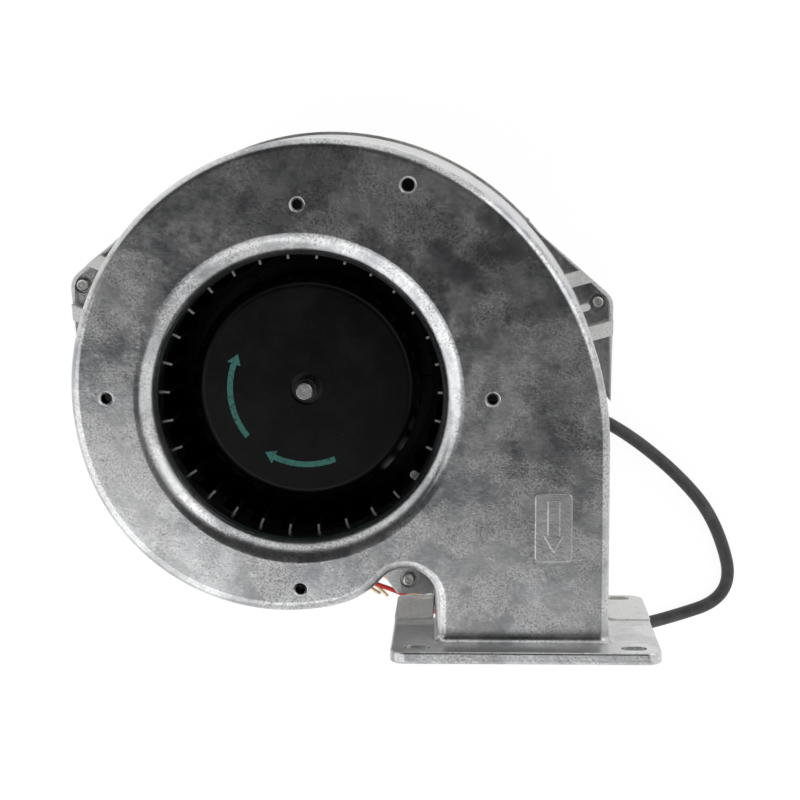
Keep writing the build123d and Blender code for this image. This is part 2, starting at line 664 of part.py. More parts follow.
def motor_flange():
    body = disc(MOTOR_PLATE_RADIUS, MOTOR_PLATE_REAR_Z, BACKPLATE_REAR_Z)
    body += disc(DISH_RADIUS, REAR_COVER_THICKNESS, DISH_FRONT_Z)
    body -= disc(DISH_RADIUS - DISH_WALL, DISH_FLOOR_Z, DISH_FRONT_Z + 1)
    body += disc(TUBE_RADIUS, REAR_COVER_THICKNESS, TUBE_FRONT_Z)
    for turn in POST_TURNS:
        body += disc(POST_RADIUS, DISH_FLOOR_Z - 1, BOARD_REAR_Z, polar(POST_CIRCLE, turn))
    seat = BEARING_OUTER_RADIUS + PRESS_CLEARANCE
    body -= disc(seat, 0, BEARING_REAR_Z + BEARING_WIDTH)
    body -= disc(TUBE_MID_BORE_RADIUS, 0, TUBE_FRONT_Z + 1)
    body -= disc(seat, BEARING_FRONT_Z, TUBE_FRONT_Z + 1)
    for turn in MOTOR_SCREW_TURNS:
        at = polar(MOTOR_SCREW_CIRCLE, turn)
        body -= disc(M4_RADIUS + BOLT_CLEARANCE, MOTOR_PLATE_REAR_Z - 1, BACKPLATE_REAR_Z + 1, at)
    for turn in COVER_SCREW_TURNS:
        at = polar(COVER_SCREW_CIRCLE, turn)
        body -= disc(M25_RADIUS + BOLT_CLEARANCE, 0, DISH_FLOOR_Z + 3, at)
    neck = Pos(DISH_RADIUS, CABLE_EXIT_Y, CABLE_EXIT_Z) * Rot(0, 90, 0)
    body -= neck * Cylinder(GROMMET_NECK_RADIUS + BOLT_CLEARANCE, 4 * DISH_WALL)
    return body


def cable_grommet():
    exit_x = DISH_RADIUS + SEAT_CLEARANCE
    low = CABLE_EXIT_Z - GROMMET_HEIGHT / 2
    high = low + GROMMET_HEIGHT
    half = GROMMET_WIDTH / 2
    body = block(
        exit_x, DISH_RADIUS + GROMMET_LENGTH, CABLE_EXIT_Y - half, CABLE_EXIT_Y + half, low, high
    )
    ends = body.faces().sort_by(Axis.X)[-1].edges()
    body = fillet(ends, GROMMET_EDGE_RADIUS)
    neck_length = DISH_WALL + 2 * GROMMET_NECK_REACH
    neck_at = Pos(exit_x + GROMMET_NECK_REACH / 2 - neck_length / 2, CABLE_EXIT_Y, CABLE_EXIT_Z)
    body += neck_at * Rot(0, 90, 0) * Cylinder(GROMMET_NECK_RADIUS, neck_length)
    nose_at = Pos(DISH_RADIUS + GROMMET_LENGTH + GROMMET_NOSE_LENGTH / 2, CABLE_EXIT_Y, CABLE_EXIT_Z)
    tip_radius = CABLE_RADIUS + GROMMET_NOSE_WALL
    body += nose_at * Rot(0, 90, 0) * Cone(GROMMET_NOSE_RADIUS, tip_radius, GROMMET_NOSE_LENGTH)
    return body


def bearing_rings(low):
    high = low + BEARING_WIDTH
    outer = tube(BEARING_OUTER_RADIUS, BEARING_OUTER_RADIUS - OUTER_RING_WALL, low, high)
    inner_bore = SHAFT_RADIUS + PRESS_CLEARANCE
    inner = tube(SHAFT_RADIUS + INNER_RING_WALL, inner_bore, low, high)
    return outer, inner


def bearing_balls(low):
    middle = low + BEARING_WIDTH / 2
    balls = []
    for n in range(BALL_COUNT):
        at = polar(BALL_CIRCLE, 360 * n / BALL_COUNT)
        balls.append(Pos(at[0], at[1], middle) * Sphere(BALL_RADIUS))
    return balls


def ball_cage(low):
    middle = low + BEARING_WIDTH / 2
    half = CAGE_WIDTH / 2
    ring = tube(BALL_CIRCLE + CAGE_WALL / 2, BALL_CIRCLE - CAGE_WALL / 2, middle - half, middle + half)
    for n in range(BALL_COUNT):
        at = polar(BALL_CIRCLE, 360 * n / BALL_COUNT)
        pocket = Rot(0, 90, 0) * Cylinder(BALL_RADIUS + CAGE_POCKET_GAP, 2 * CAGE_WALL)
        ring -= Pos(at[0], at[1], middle) * Rot(0, 0, 360 * n / BALL_COUNT) * pocket
    return ring


def preload_spring():
    low = REAR_COVER_THICKNESS + COVER_BOSS_HEIGHT
    outer = BEARING_OUTER_RADIUS - BOLT_CLEARANCE
    inner = BEARING_OUTER_RADIUS - OUTER_RING_WALL
    body = tube(outer, inner, BEARING_REAR_Z - SPRING_THICKNESS, BEARING_REAR_Z)
    for turn in SPRING_LUG_TURNS:
        at = polar((outer + inner) / 2, turn)
        body += disc((outer - inner) / 2, low, BEARING_REAR_Z, at)
    return body


def shaft():
    body = disc(SHAFT_RADIUS, SHAFT_REAR_Z, SHAFT_TIP_Z)
    ends = body.edges().filter_by(GeomType.CIRCLE)
    body = chamfer(ends, SHAFT_CHAMFER)
    groove_low = BEARING_REAR_Z - CLIP_THICKNESS
    neck = SHAFT_RADIUS - SHAFT_CHAMFER
    return body - tube(SHAFT_RADIUS + 1, neck, groove_low, BEARING_REAR_Z)


def shaft_clip():
    low = BEARING_REAR_Z - CLIP_THICKNESS
    neck = SHAFT_RADIUS - SHAFT_CHAMFER + PRESS_CLEARANCE
    ring = tube(CLIP_RADIUS, neck, low, BEARING_REAR_Z)
    half_mouth = neck * CLIP_MOUTH_SHARE
    gap = block(0, CLIP_RADIUS + 1, -half_mouth, half_mouth, low - 1, BEARING_REAR_Z + 1)
    return ring - gap


def rotor_bush():
    low = BEARING_FRONT_Z + BEARING_WIDTH
    flange_low = TUBE_FRONT_Z + SEAT_CLEARANCE * 2
    body = disc(BUSH_NECK_RADIUS, low, flange_low)
    body += disc(BUSH_FLANGE_RADIUS, flange_low, ROTOR_FACE_Z - ROTOR_WALL)
    body += disc(BUSH_COLLAR_RADIUS, flange_low, BUSH_COLLAR_Z)
    top = body.edges().filter_by(GeomType.CIRCLE).sort_by(Axis.Z)[-1]
    body = chamfer(top, SHAFT_CHAMFER / 2)
    return body - disc(SHAFT_RADIUS + PRESS_CLEARANCE, low - 1, BUSH_COLLAR_Z + 1)


def rotor_cup():
    body = disc(ROTOR_RADIUS, DISC_FRONT_Z, ROTOR_FACE_Z)
    edge = body.edges().filter_by(GeomType.CIRCLE).sort_by(Axis.Z)[-1]
    body = fillet(edge, ROTOR_EDGE_RADIUS)
    body += disc(ROTOR_LIP_RADIUS, DISC_FRONT_Z, DISC_FRONT_Z + ROTOR_LIP_THICKNESS)
    cavity = disc(ROTOR_RADIUS - ROTOR_WALL, DISC_FRONT_Z - 1, ROTOR_FACE_Z - ROTOR_WALL)
    inner = cavity.edges().filter_by(GeomType.CIRCLE).sort_by(Axis.Z)[-1]
    cavity = fillet(inner, ROTOR_EDGE_RADIUS - ROTOR_WALL)
    body -= cavity
    body -= disc(ROTOR_HOLE_RADIUS, DISC_FRONT_Z, ROTOR_FACE_Z + 1)
    for n in range(RIVET_COUNT):
        at = polar(RIVET_CIRCLE, 360 * n / RIVET_COUNT)
        body -= disc(RIVET_RADIUS + PRESS_CLEARANCE, DISC_FRONT_Z - 1, DISC_FRONT_Z + 3, at)
    return body


def rotor_magnets():
    outer = ROTOR_RADIUS - ROTOR_WALL - PRESS_CLEARANCE
    ring = tube(outer, outer - MAGNET_THICKNESS + PRESS_CLEARANCE, MAGNET_REAR_Z, MAGNET_FRONT_Z)
    width = 2 * outer * math.sin(math.radians(MAGNET_GAP_DEG / 2))
    for n in range(MAGNET_COUNT):
        cut = block(1, outer + 1, -width / 2, width / 2, MAGNET_REAR_Z - 1, MAGNET_FRONT_Z + 1)
        ring -= Rot(0, 0, 360 * n / MAGNET_COUNT) * cut
    return Compound(ring.solids())


def stator_spider(with_shoes):
    sheet = Circle(STACK_HUB_RADIUS)
    for n in range(TOOTH_COUNT):
        turn = 360 * n / TOOTH_COUNT
        reach = STATOR_RADIUS - SHOE_THICKNESS / 2
        sheet += Rot(0, 0, turn) * Pos(reach / 2, 0) * Rectangle(reach, TOOTH_WIDTH)
        if with_shoes:
            half = SHOE_ARC_DEG / 2
            inner = STATOR_RADIUS - SHOE_THICKNESS
            shoe = make_face(
                [
                    arc_between((0.0, 0.0), STATOR_RADIUS, turn - half, turn + half),
                    Line(polar(STATOR_RADIUS, turn + half), polar(inner, turn + half)),
                    arc_between((0.0, 0.0), inner, turn + half, turn - half),
                    Line(polar(inner, turn - half), polar(STATOR_RADIUS, turn - half)),
                ]
            )
            sheet += shoe
    return sheet - Circle(TUBE_RADIUS + PRESS_CLEARANCE)


def stator_laminations():
    return slab(stator_spider(True), STACK_REAR_Z, STACK_FRONT_Z)


def stator_insulator(low):
    return slab(stator_spider(False), low, low + INSULATOR_THICKNESS)


def stator_coils():
    low = STACK_REAR_Z - INSULATOR_THICKNESS
    high = STACK_FRONT_Z + INSULATOR_THICKNESS
    half = TOOTH_WIDTH / 2
    grow = COIL_THICKNESS
    coils = []
    for n in range(TOOTH_COUNT):
        outer = block(
            COIL_INNER_RADIUS, COIL_OUTER_RADIUS, -half - grow, half + grow, low - grow, high + grow
        )
        outer = fillet(outer.edges().filter_by(Axis.X), grow * COIL_CORNER_SHARE)
        inner = block(COIL_INNER_RADIUS - 1, COIL_OUTER_RADIUS + 1, -half, half, low, high)
        coils.append(Rot(0, 0, 360 * n / TOOTH_COUNT) * (outer - inner))
    return Compound(coils)


def circuit_board():
    return tube(BOARD_RADIUS, BOARD_HOLE_RADIUS, BOARD_REAR_Z, BOARD_REAR_Z + BOARD_THICKNESS)


def capacitor():
    low = BOARD_REAR_Z - CAPACITOR_HEIGHT
    body = disc(CAPACITOR_RADIUS, low, BOARD_REAR_Z, CAPACITOR_AT)
    rims = body.edges().filter_by(GeomType.CIRCLE)
    return fillet(rims, CAPACITOR_RADIUS / 8)


def chip_row(size, circle, turns, low):
    chips = []
    for turn in turns:
        chip = Pos(circle, 0, low + size[2] / 2) * Box(*size)
        chips.append(Rot(0, 0, turn) * chip)
    return Compound(chips)


def impeller_disc():
    body = tube(IMPELLER_RIM_RADIUS, DISC_HOLE_RADIUS, IMPELLER_REAR_Z, DISC_FRONT_Z)
    for n in range(RIVET_COUNT):
        at = polar(RIVET_CIRCLE, 360 * n / RIVET_COUNT)
        body -= disc(RIVET_RADIUS + PRESS_CLEARANCE, IMPELLER_REAR_Z - 1, DISC_FRONT_Z + 1, at)
    return body


def blade_outline(shift):
    inner = polar(BLADE_INNER_RADIUS, 0)
    outer = polar(BLADE_OUTER_RADIUS, -BLADE_LEAN_DEG)
    middle = polar((BLADE_INNER_RADIUS + BLADE_OUTER_RADIUS) / 2, -BLADE_LEAN_DEG / 2)
    heading = math.atan2(outer[1] - inner[1], outer[0] - inner[0])
    side = (-math.sin(heading), math.cos(heading))
    points = []
    for base, bow in ((inner, 0), (middle, BLADE_BOW), (outer, 0)):
        reach = bow + shift
        points.append((base[0] + side[0] * reach, base[1] + side[1] * reach))
    return points


def blade_face():
    near = blade_outline(-BLADE_THICKNESS / 2)
    far = blade_outline(BLADE_THICKNESS / 2)
    return make_face(
        [
            ThreePointArc(*near),
            Line(near[2], far[2]),
            ThreePointArc(far[2], far[1], far[0]),
            Line(far[0], near[0]),
        ]
    )


def impeller_blades():
    blade = slab(blade_face(), DISC_FRONT_Z, RING_REAR_Z)
    return Compound([Rot(0, 0, 360 * n / BLADE_COUNT) * blade for n in range(BLADE_COUNT)])


def impeller_ring():
    return tube(IMPELLER_RIM_RADIUS, RING_INNER_RADIUS, RING_REAR_Z, IMPELLER_FRONT_Z)


def impeller_rivets():
    rivets = []
    top = DISC_FRONT_Z + ROTOR_LIP_THICKNESS
    for n in range(RIVET_COUNT):
        at = polar(RIVET_CIRCLE, 360 * n / RIVET_COUNT)
        body = disc(RIVET_RADIUS, IMPELLER_REAR_Z, top + RIVET_HEAD_HEIGHT, at)
        head = disc(RIVET_HEAD_RADIUS, top, top + RIVET_HEAD_HEIGHT, at)
        rim = head.edges().filter_by(GeomType.CIRCLE).sort_by(Axis.Z)[-1]
        rivets.append(body + fillet(rim, RIVET_HEAD_HEIGHT / 2))
    return Compound(rivets)


def balance_clip():
    turn = 360 * CLIP_WEIGHT_BLADE / BLADE_COUNT
    at = polar(CLIP_WEIGHT_CIRCLE, -BLADE_LEAN_DEG / 8)
    low = RING_REAR_Z - CLIP_WEIGHT_DEPTH
    body = disc(CLIP_WEIGHT_RADIUS, low, RING_REAR_Z + CLIP_WEIGHT_CAP, at)
    body -= slab(offset(blade_face(), PRESS_CLEARANCE), low - 1, RING_REAR_Z)
    return Rot(0, 0, turn) * body


CABLE_ROUTE = (
    (DISH_RADIUS + GROMMET_LENGTH + GROMMET_NOSE_LENGTH, CABLE_EXIT_Y, CABLE_EXIT_Z),
    (64.0, CABLE_EXIT_Y, CABLE_EXIT_Z),
    (86.0, -9.5, CABLE_TABLE_Z),
    (110.0, -18.5, CABLE_TABLE_Z),
    (133.5, -36.5, CABLE_TABLE_Z),
    (149.3, -55.2, CABLE_TABLE_Z),
    (157.0, -84.2, CABLE_TABLE_Z),
    (128.5, -94.2, CABLE_TABLE_Z),
    (98.0, -101.0, CABLE_TABLE_Z),
    (68.0, -100.0, CABLE_TABLE_Z),
    (50.0, -92.5, CABLE_TABLE_Z),
)


def bend_radius(before, corner, after):
    first = Vector(*corner) - Vector(*before)
    second = Vector(*after) - Vector(*corner)
    turn = math.radians(first.get_angle(second))
    shorter = min(first.length, second.length)
    return CORD_BEND_SHARE * shorter / math.tan(turn / 2), math.degrees(turn)


def round_path(name, route):
    radii = []
    for n in range(1, len(route) - 1):
        radius, turn = bend_radius(route[n - 1], route[n], route[n + 1])
        radii.append(radius)
        run = (Vector(*route[n]) - Vector(*route[n - 1])).length
        print(name, "corner", n, "run", round(run, 1), "turn", round(turn, 1), "radius", round(radius, 1))
    return FilletPolyline(*route, radius=radii)


def round_tube(name, route, radius):
    path = round_path(name, route)
    start = Plane(origin=route[0], z_dir=Vector(*route[1]) - Vector(*route[0]))
    body = sweep(start * Circle(radius), path=path)
    print(name, "length", round(path.length, 1), "volume ratio",
          round(body.volume / (math.pi * radius**2 * path.length), 4))
    return body


CABLE_END = CABLE_ROUTE[-1]
CABLE_END_HEADING = math.degrees(
    math.atan2(CABLE_END[1] - CABLE_ROUTE[-2][1], CABLE_END[0] - CABLE_ROUTE[-2][0])
)


def lead_route(side, rise, rest):
    shift = polar(side * LEAD_SPREAD, CABLE_END_HEADING + 90)
    start = (CABLE_END[0] + shift[0], CABLE_END[1] + shift[1], CABLE_END[2] + rise * LEAD_SPREAD)
    ahead = polar(LEAD_STEP, CABLE_END_HEADING, (start[0], start[1]))
    return (start, (ahead[0], ahead[1], start[2])) + rest


RED_ROUTE = lead_route(
    1,
    1,
    (
        (36.5, -86.4, LEAD_HIGH_Z),
        (28.6, -82.6, LEAD_HIGH_Z),
        (19.5, -79.7, LEAD_HIGH_Z),
        (12.0, -74.0, LEAD_HIGH_Z),
    ),
)
YELLOW_ROUTE = lead_route(
    -1,
    1,
    (
        (37.0, -83.6, LEAD_HIGH_Z + LEAD_RADIUS / 2),
        (30.0, -80.8, LEAD_HIGH_Z + LEAD_RADIUS),
        (23.4, -75.4, LEAD_HIGH_Z + LEAD_RADIUS),
        (16.5, -67.5, LEAD_HIGH_Z + LEAD_RADIUS),
    ),
)
BLUE_ROUTE = lead_route(
    -1,
    -1,
    (
        (36.0, -81.0, LEAD_LOW_Z),
        (25.0, -69.0, LEAD_LOW_Z),
        (13.0, -51.0, LEAD_LOW_Z),
        (-9.0, -50.0, LEAD_LOW_Z),
        (-10.5, -72.0, LEAD_LOW_Z),
        (7.5, -74.0, LEAD_LOW_Z),
        (18.4, -81.4, LEAD_LOW_Z),
    ),
)
WHITE_ROUTE = lead_route(
    1,
    -1,
    (
        (34.0, -84.0, LEAD_LOW_Z),
        (23.5, -73.8, LEAD_LOW_Z),
        (12.5, -62.5, LEAD_LOW_Z),
        (3.4, -54.9, LEAD_LOW_Z),
        (-4.6, -61.6, LEAD_LOW_Z),
        (0.4, -70.6, LEAD_LOW_Z),
        (13.6, -73.1, LEAD_LOW_Z),
        (22.0, -81.5, LEAD_LOW_Z),
    ),
)
LEAD_ROUTES = {"red": RED_ROUTE, "yellow": YELLOW_ROUTE, "blue": BLUE_ROUTE, "white": WHITE_ROUTE}


def wire_ferrules():
    sleeves = []
    for route in LEAD_ROUTES.values():
        heading = Vector(*route[-1]) - Vector(*route[-2])
        seat = Plane(origin=route[-1], z_dir=heading)
        sleeves.append(extrude(seat * Circle(FERRULE_RADIUS), amount=FERRULE_LENGTH))
    return Compound(sleeves)


BODIES = {
    "front_housing": front_housing,
    "rear_housing": rear_housing,
    "housing_screws": housing_screws,
    "motor_flange": motor_flange,
    "motor_screws": motor_screws,
    "rear_cover": rear_cover,
    "cover_screws": cover_screws,
    "cable_grommet": cable_grommet,
    "preload_spring": preload_spring,
    "stator_laminations": stator_laminations,
    "stator_coils": stator_coils,
    "circuit_board": circuit_board,
    "capacitor": capacitor,
    "shaft": shaft,
    "shaft_clip": shaft_clip,
    "rotor_bush": rotor_bush,
    "rotor_cup": rotor_cup,
    "rotor_magnets": rotor_magnets,
    "impeller_disc": impeller_disc,
    "impeller_blades": impeller_blades,
    "impeller_ring": impeller_ring,
    "impeller_rivets": impeller_rivets,
    "balance_clip": balance_clip,
}


def save(name, shape):
    solids = shape.solids()
    kept = solids[0] if len(solids) == 1 else Compound(solids)
    box = kept.bounding_box()
    print(name, "solids", len(solids), "volume", round(kept.volume))
    print(name, "z", round(box.min.Z, 2), round(box.max.Z, 2))
    export_step(kept, "parts/" + name + ".step")


for node_name, make in BODIES.items():
    save(node_name, make())

for place, level in (("front", BEARING_FRONT_Z), ("rear", BEARING_REAR_Z)):
    outer_ring, inner_ring = bearing_rings(level)
    save(place + "_bearing_outer_ring", outer_ring)
    save(place + "_bearing_inner_ring", inner_ring)
    save(place + "_bearing_balls", Compound(bearing_balls(level)))
    save(place + "_bearing_cage", ball_cage(level))

save("stator_insulator_front", stator_insulator(STACK_FRONT_Z))
save("stator_insulator_rear", stator_insulator(STACK_REAR_Z - INSULATOR_THICKNESS))
save(
    "power_transistors",
    chip_row(TRANSISTOR_SIZE, TRANSISTOR_CIRCLE, TRANSISTOR_TURNS, BOARD_REAR_Z - TRANSISTOR_SIZE[2]),
)
save("hall_sensors", chip_row(HALL_SIZE, HALL_CIRCLE, HALL_TURNS, BOARD_REAR_Z + BOARD_THICKNESS))
save("cable_sheath", round_tube("cable_sheath", CABLE_ROUTE, CABLE_RADIUS))
for colour, route in LEAD_ROUTES.items():
    save("lead_" + colour, round_tube("lead_" + colour, route, LEAD_RADIUS))
save("wire_ferrules", wire_ferrules())
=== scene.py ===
import logging
import math
from dataclasses import dataclass, fields
from enum import Enum
from typing import ClassVar

import bmesh
import bpy
from bpy.types import Curve, Material, Mesh, Node, NodeSocket, NodeTree, Object, World
from mathutils import Euler, Matrix, Vector


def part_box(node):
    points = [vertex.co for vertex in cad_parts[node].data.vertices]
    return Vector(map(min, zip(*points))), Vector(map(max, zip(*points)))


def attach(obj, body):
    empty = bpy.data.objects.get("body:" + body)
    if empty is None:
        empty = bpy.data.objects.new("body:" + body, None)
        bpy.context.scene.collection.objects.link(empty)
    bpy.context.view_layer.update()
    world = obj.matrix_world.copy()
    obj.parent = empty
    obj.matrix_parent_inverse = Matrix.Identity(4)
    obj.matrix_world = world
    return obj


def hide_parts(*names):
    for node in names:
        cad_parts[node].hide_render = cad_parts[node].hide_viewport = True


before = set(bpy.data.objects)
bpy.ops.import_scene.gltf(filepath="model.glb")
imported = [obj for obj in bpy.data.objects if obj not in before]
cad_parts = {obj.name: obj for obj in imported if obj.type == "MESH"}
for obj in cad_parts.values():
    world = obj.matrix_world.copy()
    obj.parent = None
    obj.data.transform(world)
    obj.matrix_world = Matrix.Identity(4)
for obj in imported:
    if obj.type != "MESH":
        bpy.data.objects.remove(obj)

log = logging.getLogger("fan")
MM = 0.001

Colour = tuple[float, float, float]
Point = tuple[float, float, float]
Pair = tuple[float, float]
# How many blotches of a noise go into a metre, its finer layers, how strong they are and how far it is bent.
# A group that takes the first as an input leaves it out.
Noise = tuple[float, ...]


class Body(Enum):
    """The bodies that the new pieces ride on."""

    CASING = "casing"
    ROTOR = "rotor"


class Slot(Enum):
    """The record's material slots, by name."""

    ZINC = "zinc_steel"
    COPPER = "copper"
    BLACK_PAINT = "black_paint"
    BLACK_COAT = "black_coated_steel"
    SHEATH = "cable_pvc"
    LEAD_RED = "lead_red"
    LEAD_YELLOW = "lead_yellow"
    LEAD_BLUE = "lead_blue"
    LEAD_WHITE = "lead_white"
    BRASS = "brass"


class Lead(Enum):
    """The four leads by the colour of their insulation."""

    RED = "red"
    YELLOW = "yellow"
    BLUE = "blue"
    WHITE = "white"


class Signal:
    """A node's output that does sums: each sum adds a math node."""

    def __init__(self, sheet: "NodeSheet", socket: NodeSocket) -> None:
        """Keeps the sheet that gets the nodes, and the socket."""
        self.sheet = sheet
        self.socket = socket

    def __add__(self, other: "Value") -> "Signal":
        """Adds a value."""
        return self.sheet.math("ADD", self, other)

    def __sub__(self, other: "Value") -> "Signal":
        """Takes a value off."""
        return self.sheet.math("SUBTRACT", self, other)

    def __rsub__(self, other: "Value") -> "Signal":
        """Takes this off a value."""
        return self.sheet.math("SUBTRACT", other, self)

    def __mul__(self, other: "Value") -> "Signal":
        """Multiplies by a value."""
        return self.sheet.math("MULTIPLY", self, other)

    def __truediv__(self, other: "Value") -> "Signal":
        """Divides by a value."""
        return self.sheet.math("DIVIDE", self, other)

    def __gt__(self, other: "Value") -> "Signal":
        """Gives 1 where this is greater than a value, and 0 elsewhere."""
        return self.sheet.math("GREATER_THAN", self, other)

    def __lt__(self, other: "Value") -> "Signal":
        """Gives 1 where this is less than a value, and 0 elsewhere."""
        return self.sheet.math("LESS_THAN", self, other)

    def __abs__(self) -> "Signal":
        """Leaves off the sign."""
        return self.sheet.math("ABSOLUTE", self)


Value = float | Signal
Inputs = dict[str | int, object]


class NodeSheet:
    """Adds nodes to one node tree and joins them."""

    def __init__(self, tree: NodeTree) -> None:
        """Keeps the tree that gets the nodes."""
        self.tree = tree

    def feed(self, node: Node, values: Inputs) -> Node:
        """Sets or feeds a node's inputs.

        Args:
            node: the node.
            values: the value or signal for each input by name or number.

        Returns:
            The node.
        """
        for key, value in values.items():
            if isinstance(value, Signal):
                self.tree.links.new(value.socket, node.inputs[key])
            else:
                node.inputs[key].default_value = value
        return node

    def add(self, kind: str, values: Inputs | None = None, **settings: object) -> Node:
        """Adds a node.

        Args:
            kind: the node's type name.
            values: the value or signal for each input by name or number.
            settings: the node's own properties.

        Returns:
            The new node.
        """
        node = self.tree.nodes.new(kind)
        for name, value in settings.items():
            setattr(node, name, value)
        return self.feed(node, values or {})

    def get(self, kind: str, values: Inputs | None = None, out: str | int = 0, **settings: object) -> Signal:
        """Adds a node as add does, and returns its output of that name or number."""
        return Signal(self, self.add(kind, values, **settings).outputs[out])

    def math(self, operation: str, first: Value, second: Value = 0.5, clamp: bool = False) -> Signal:
        """Adds a math node, whose result stays between 0 and 1 if clamp is set."""
        return self.get("ShaderNodeMath", {0: first, 1: second}, operation=operation, use_clamp=clamp)

    def most(self, first: Value, second: Value) -> Signal:
        """Adds a node that gives the larger of two values."""
        return self.math("MAXIMUM", first, second)

    def vector(self, operation: str, first: Point | Signal, second: Point | Signal) -> Signal:
        """Adds a vector math node and returns its vector."""
        return self.get("ShaderNodeVectorMath", {0: first, 1: second}, "Vector", operation=operation)

    def measure(self, operation: str, first: Signal, second: Point | Signal = (0.0, 0.0, 0.0)) -> Signal:
        """Adds a vector math node and returns its number."""
        return self.get("ShaderNodeVectorMath", {0: first, 1: second}, "Value", operation=operation)

    def scaled(self, vector: Signal, factor: Value) -> Signal:
        """Adds a node that multiplies a vector by a number."""
        return self.get("ShaderNodeVectorMath", {0: vector, "Scale": factor}, "Vector", operation="SCALE")

    def split(self, vector: Signal) -> tuple[Signal, ...]:
        """Returns a vector's X, Y and Z."""
        node = self.add("ShaderNodeSeparateXYZ", {0: vector})
        return tuple(Signal(self, socket) for socket in node.outputs)

    def join(self, x: Value = 0.0, y: Value = 0.0, z: Value = 0.0) -> Signal:
        """Returns the vector with this X, Y and Z."""
        return self.get("ShaderNodeCombineXYZ", {"X": x, "Y": y, "Z": z})

    def off_axis(self, place: Signal) -> Signal:
        """Returns how far a place is from the fan axis."""
        x, y, _ = self.split(place)
        return self.measure("LENGTH", self.join(x, y))

    def upward(self) -> Signal:
        """Returns how far the piece's own normal points up, from -1 to 1."""
        return self.split(self.get("ShaderNodeTexCoord", out="Normal"))[2]

    def ramp(self, value: Value, low: Value, high: Value) -> Signal:
        """Adds a smooth step from 0 where the value is low to 1 where it is high."""
        values = {"Value": value, "From Min": low, "From Max": high}
        return self.get("ShaderNodeMapRange", values, "Result", interpolation_type="SMOOTHSTEP")

    def span(self, value: Value, start: Pair, end: Pair, clamp: bool = True) -> Signal:
        """Adds an even change of range.

        Args:
            value: what is read.
            start: the two values between which it is read.
            end: what comes out at each of them.
            clamp: whether the result stays between these.

        Returns:
            The result.
        """
        ends = dict(zip(("From Min", "From Max", "To Min", "To Max"), (*start, *end)))
        return self.get("ShaderNodeMapRange", {"Value": value, **ends}, clamp=clamp)

    def mix(self, factor: Value, first: Colour | Signal, second: Colour | Signal) -> Signal:
        """Adds a colour mix.

        Args:
            factor: the share of the second colour.
            first: the colour at 0.
            second: the colour at 1.

        Returns:
            The mixed colour.
        """
        node = self.add("ShaderNodeMix", {"Factor": factor}, data_type="RGBA")
        for key, value in ((6, first), (7, second)):
            self.feed(node, {key: value if isinstance(value, Signal) else (*value, 1.0)})
        return Signal(self, node.outputs[2])

    def noise(
        self, place: Signal, scale: Value, detail: float = 3.0, rough: float = 0.55, bend: float = 0.0
    ) -> Signal:
        """Adds a noise texture.

        Args:
            place: where it is read.
            scale: how many blotches go into a metre.
            detail: how many finer layers it has.
            rough: how strong the finer layers are.
            bend: how much it is pushed about.

        Returns:
            The noise, from 0 to 1.
        """
        values = {"Vector": place, "Scale": scale, "Detail": detail, "Roughness": rough, "Distortion": bend}
        return self.get("ShaderNodeTexNoise", values, "Fac", noise_dimensions="3D")

    def bump(self, height: Signal, depth: float, normal: Signal | None = None) -> Signal:
        """Adds a bump.

        Args:
            height: the height, from 0 to 1.
            depth: how deep that height is, in metres.
            normal: the normal below it, if it isn't the surface's own.

        Returns:
            The normal.
        """
        under = {"Normal": normal} if normal else {}
        return self.get("ShaderNodeBump", {"Height": height, "Distance": depth, "Strength": 1.0, **under})


def empty_sheet(owner: Material | World) -> NodeSheet:
    """Empties a material's or a world's node tree and returns its sheet."""
    owner.use_nodes = True
    owner.node_tree.nodes.clear()
    return NodeSheet(owner.node_tree)


class EffectGroup:
    """A shader node group that several finishes use, with a vector and some numbers as its inputs."""

    name: str = ""
    sizes: dict[str, float] = {}
    outputs: tuple[str, ...] = ("Mask",)

    def fill(self, sheet: NodeSheet, place: Signal, *sizes: Signal) -> tuple[Signal, ...]:
        """Makes the group's nodes.

        Args:
            sheet: the sheet for the group's tree.
            place: where it is read.
            sizes: its other inputs in their order.

        Returns:
            The signal for each output in its order.
        """
        raise NotImplementedError

    def socket(self, tree: NodeTree, name: str, way: str) -> NodeSocket:
        """Adds an input or output to the group's interface, a vector or a number by its name."""
        kind = "NodeSocketVector" if name in ("Vector", "Normal") else "NodeSocketFloat"
        return tree.interface.new_socket(name, in_out=way, socket_type=kind)

    def tree(self) -> NodeTree:
        """Returns the group's tree, which is built at its first use."""
        if self.name in bpy.data.node_groups:
            return bpy.data.node_groups[self.name]
        tree = bpy.data.node_groups.new(self.name, "ShaderNodeTree")
        self.socket(tree, "Vector", "INPUT")
        for name, value in self.sizes.items():
            self.socket(tree, name, "INPUT").default_value = value
        for name in self.outputs:
            self.socket(tree, name, "OUTPUT")
        sheet = NodeSheet(tree)
        given = sheet.add("NodeGroupInput").outputs
        made = self.fill(sheet, *(Signal(sheet, given[name]) for name in ("Vector", *self.sizes)))
        sheet.add("NodeGroupOutput", dict(zip(self.outputs, made)))
        return tree

    def use(self, sheet: NodeSheet, place: Signal, *values: Value) -> tuple[Signal, ...]:
        """Places the group in a material.

        Args:
            sheet: the material's sheet.
            place: where it is read.
            values: the value for each of its sizes in their order.

        Returns:
            Its outputs in their order.
        """
        inputs = {"Vector": place, **dict(zip(self.sizes, values))}
        node = sheet.feed(sheet.add("ShaderNodeGroup", node_tree=self.tree()), inputs)
        return tuple(Signal(sheet, socket) for socket in node.outputs)


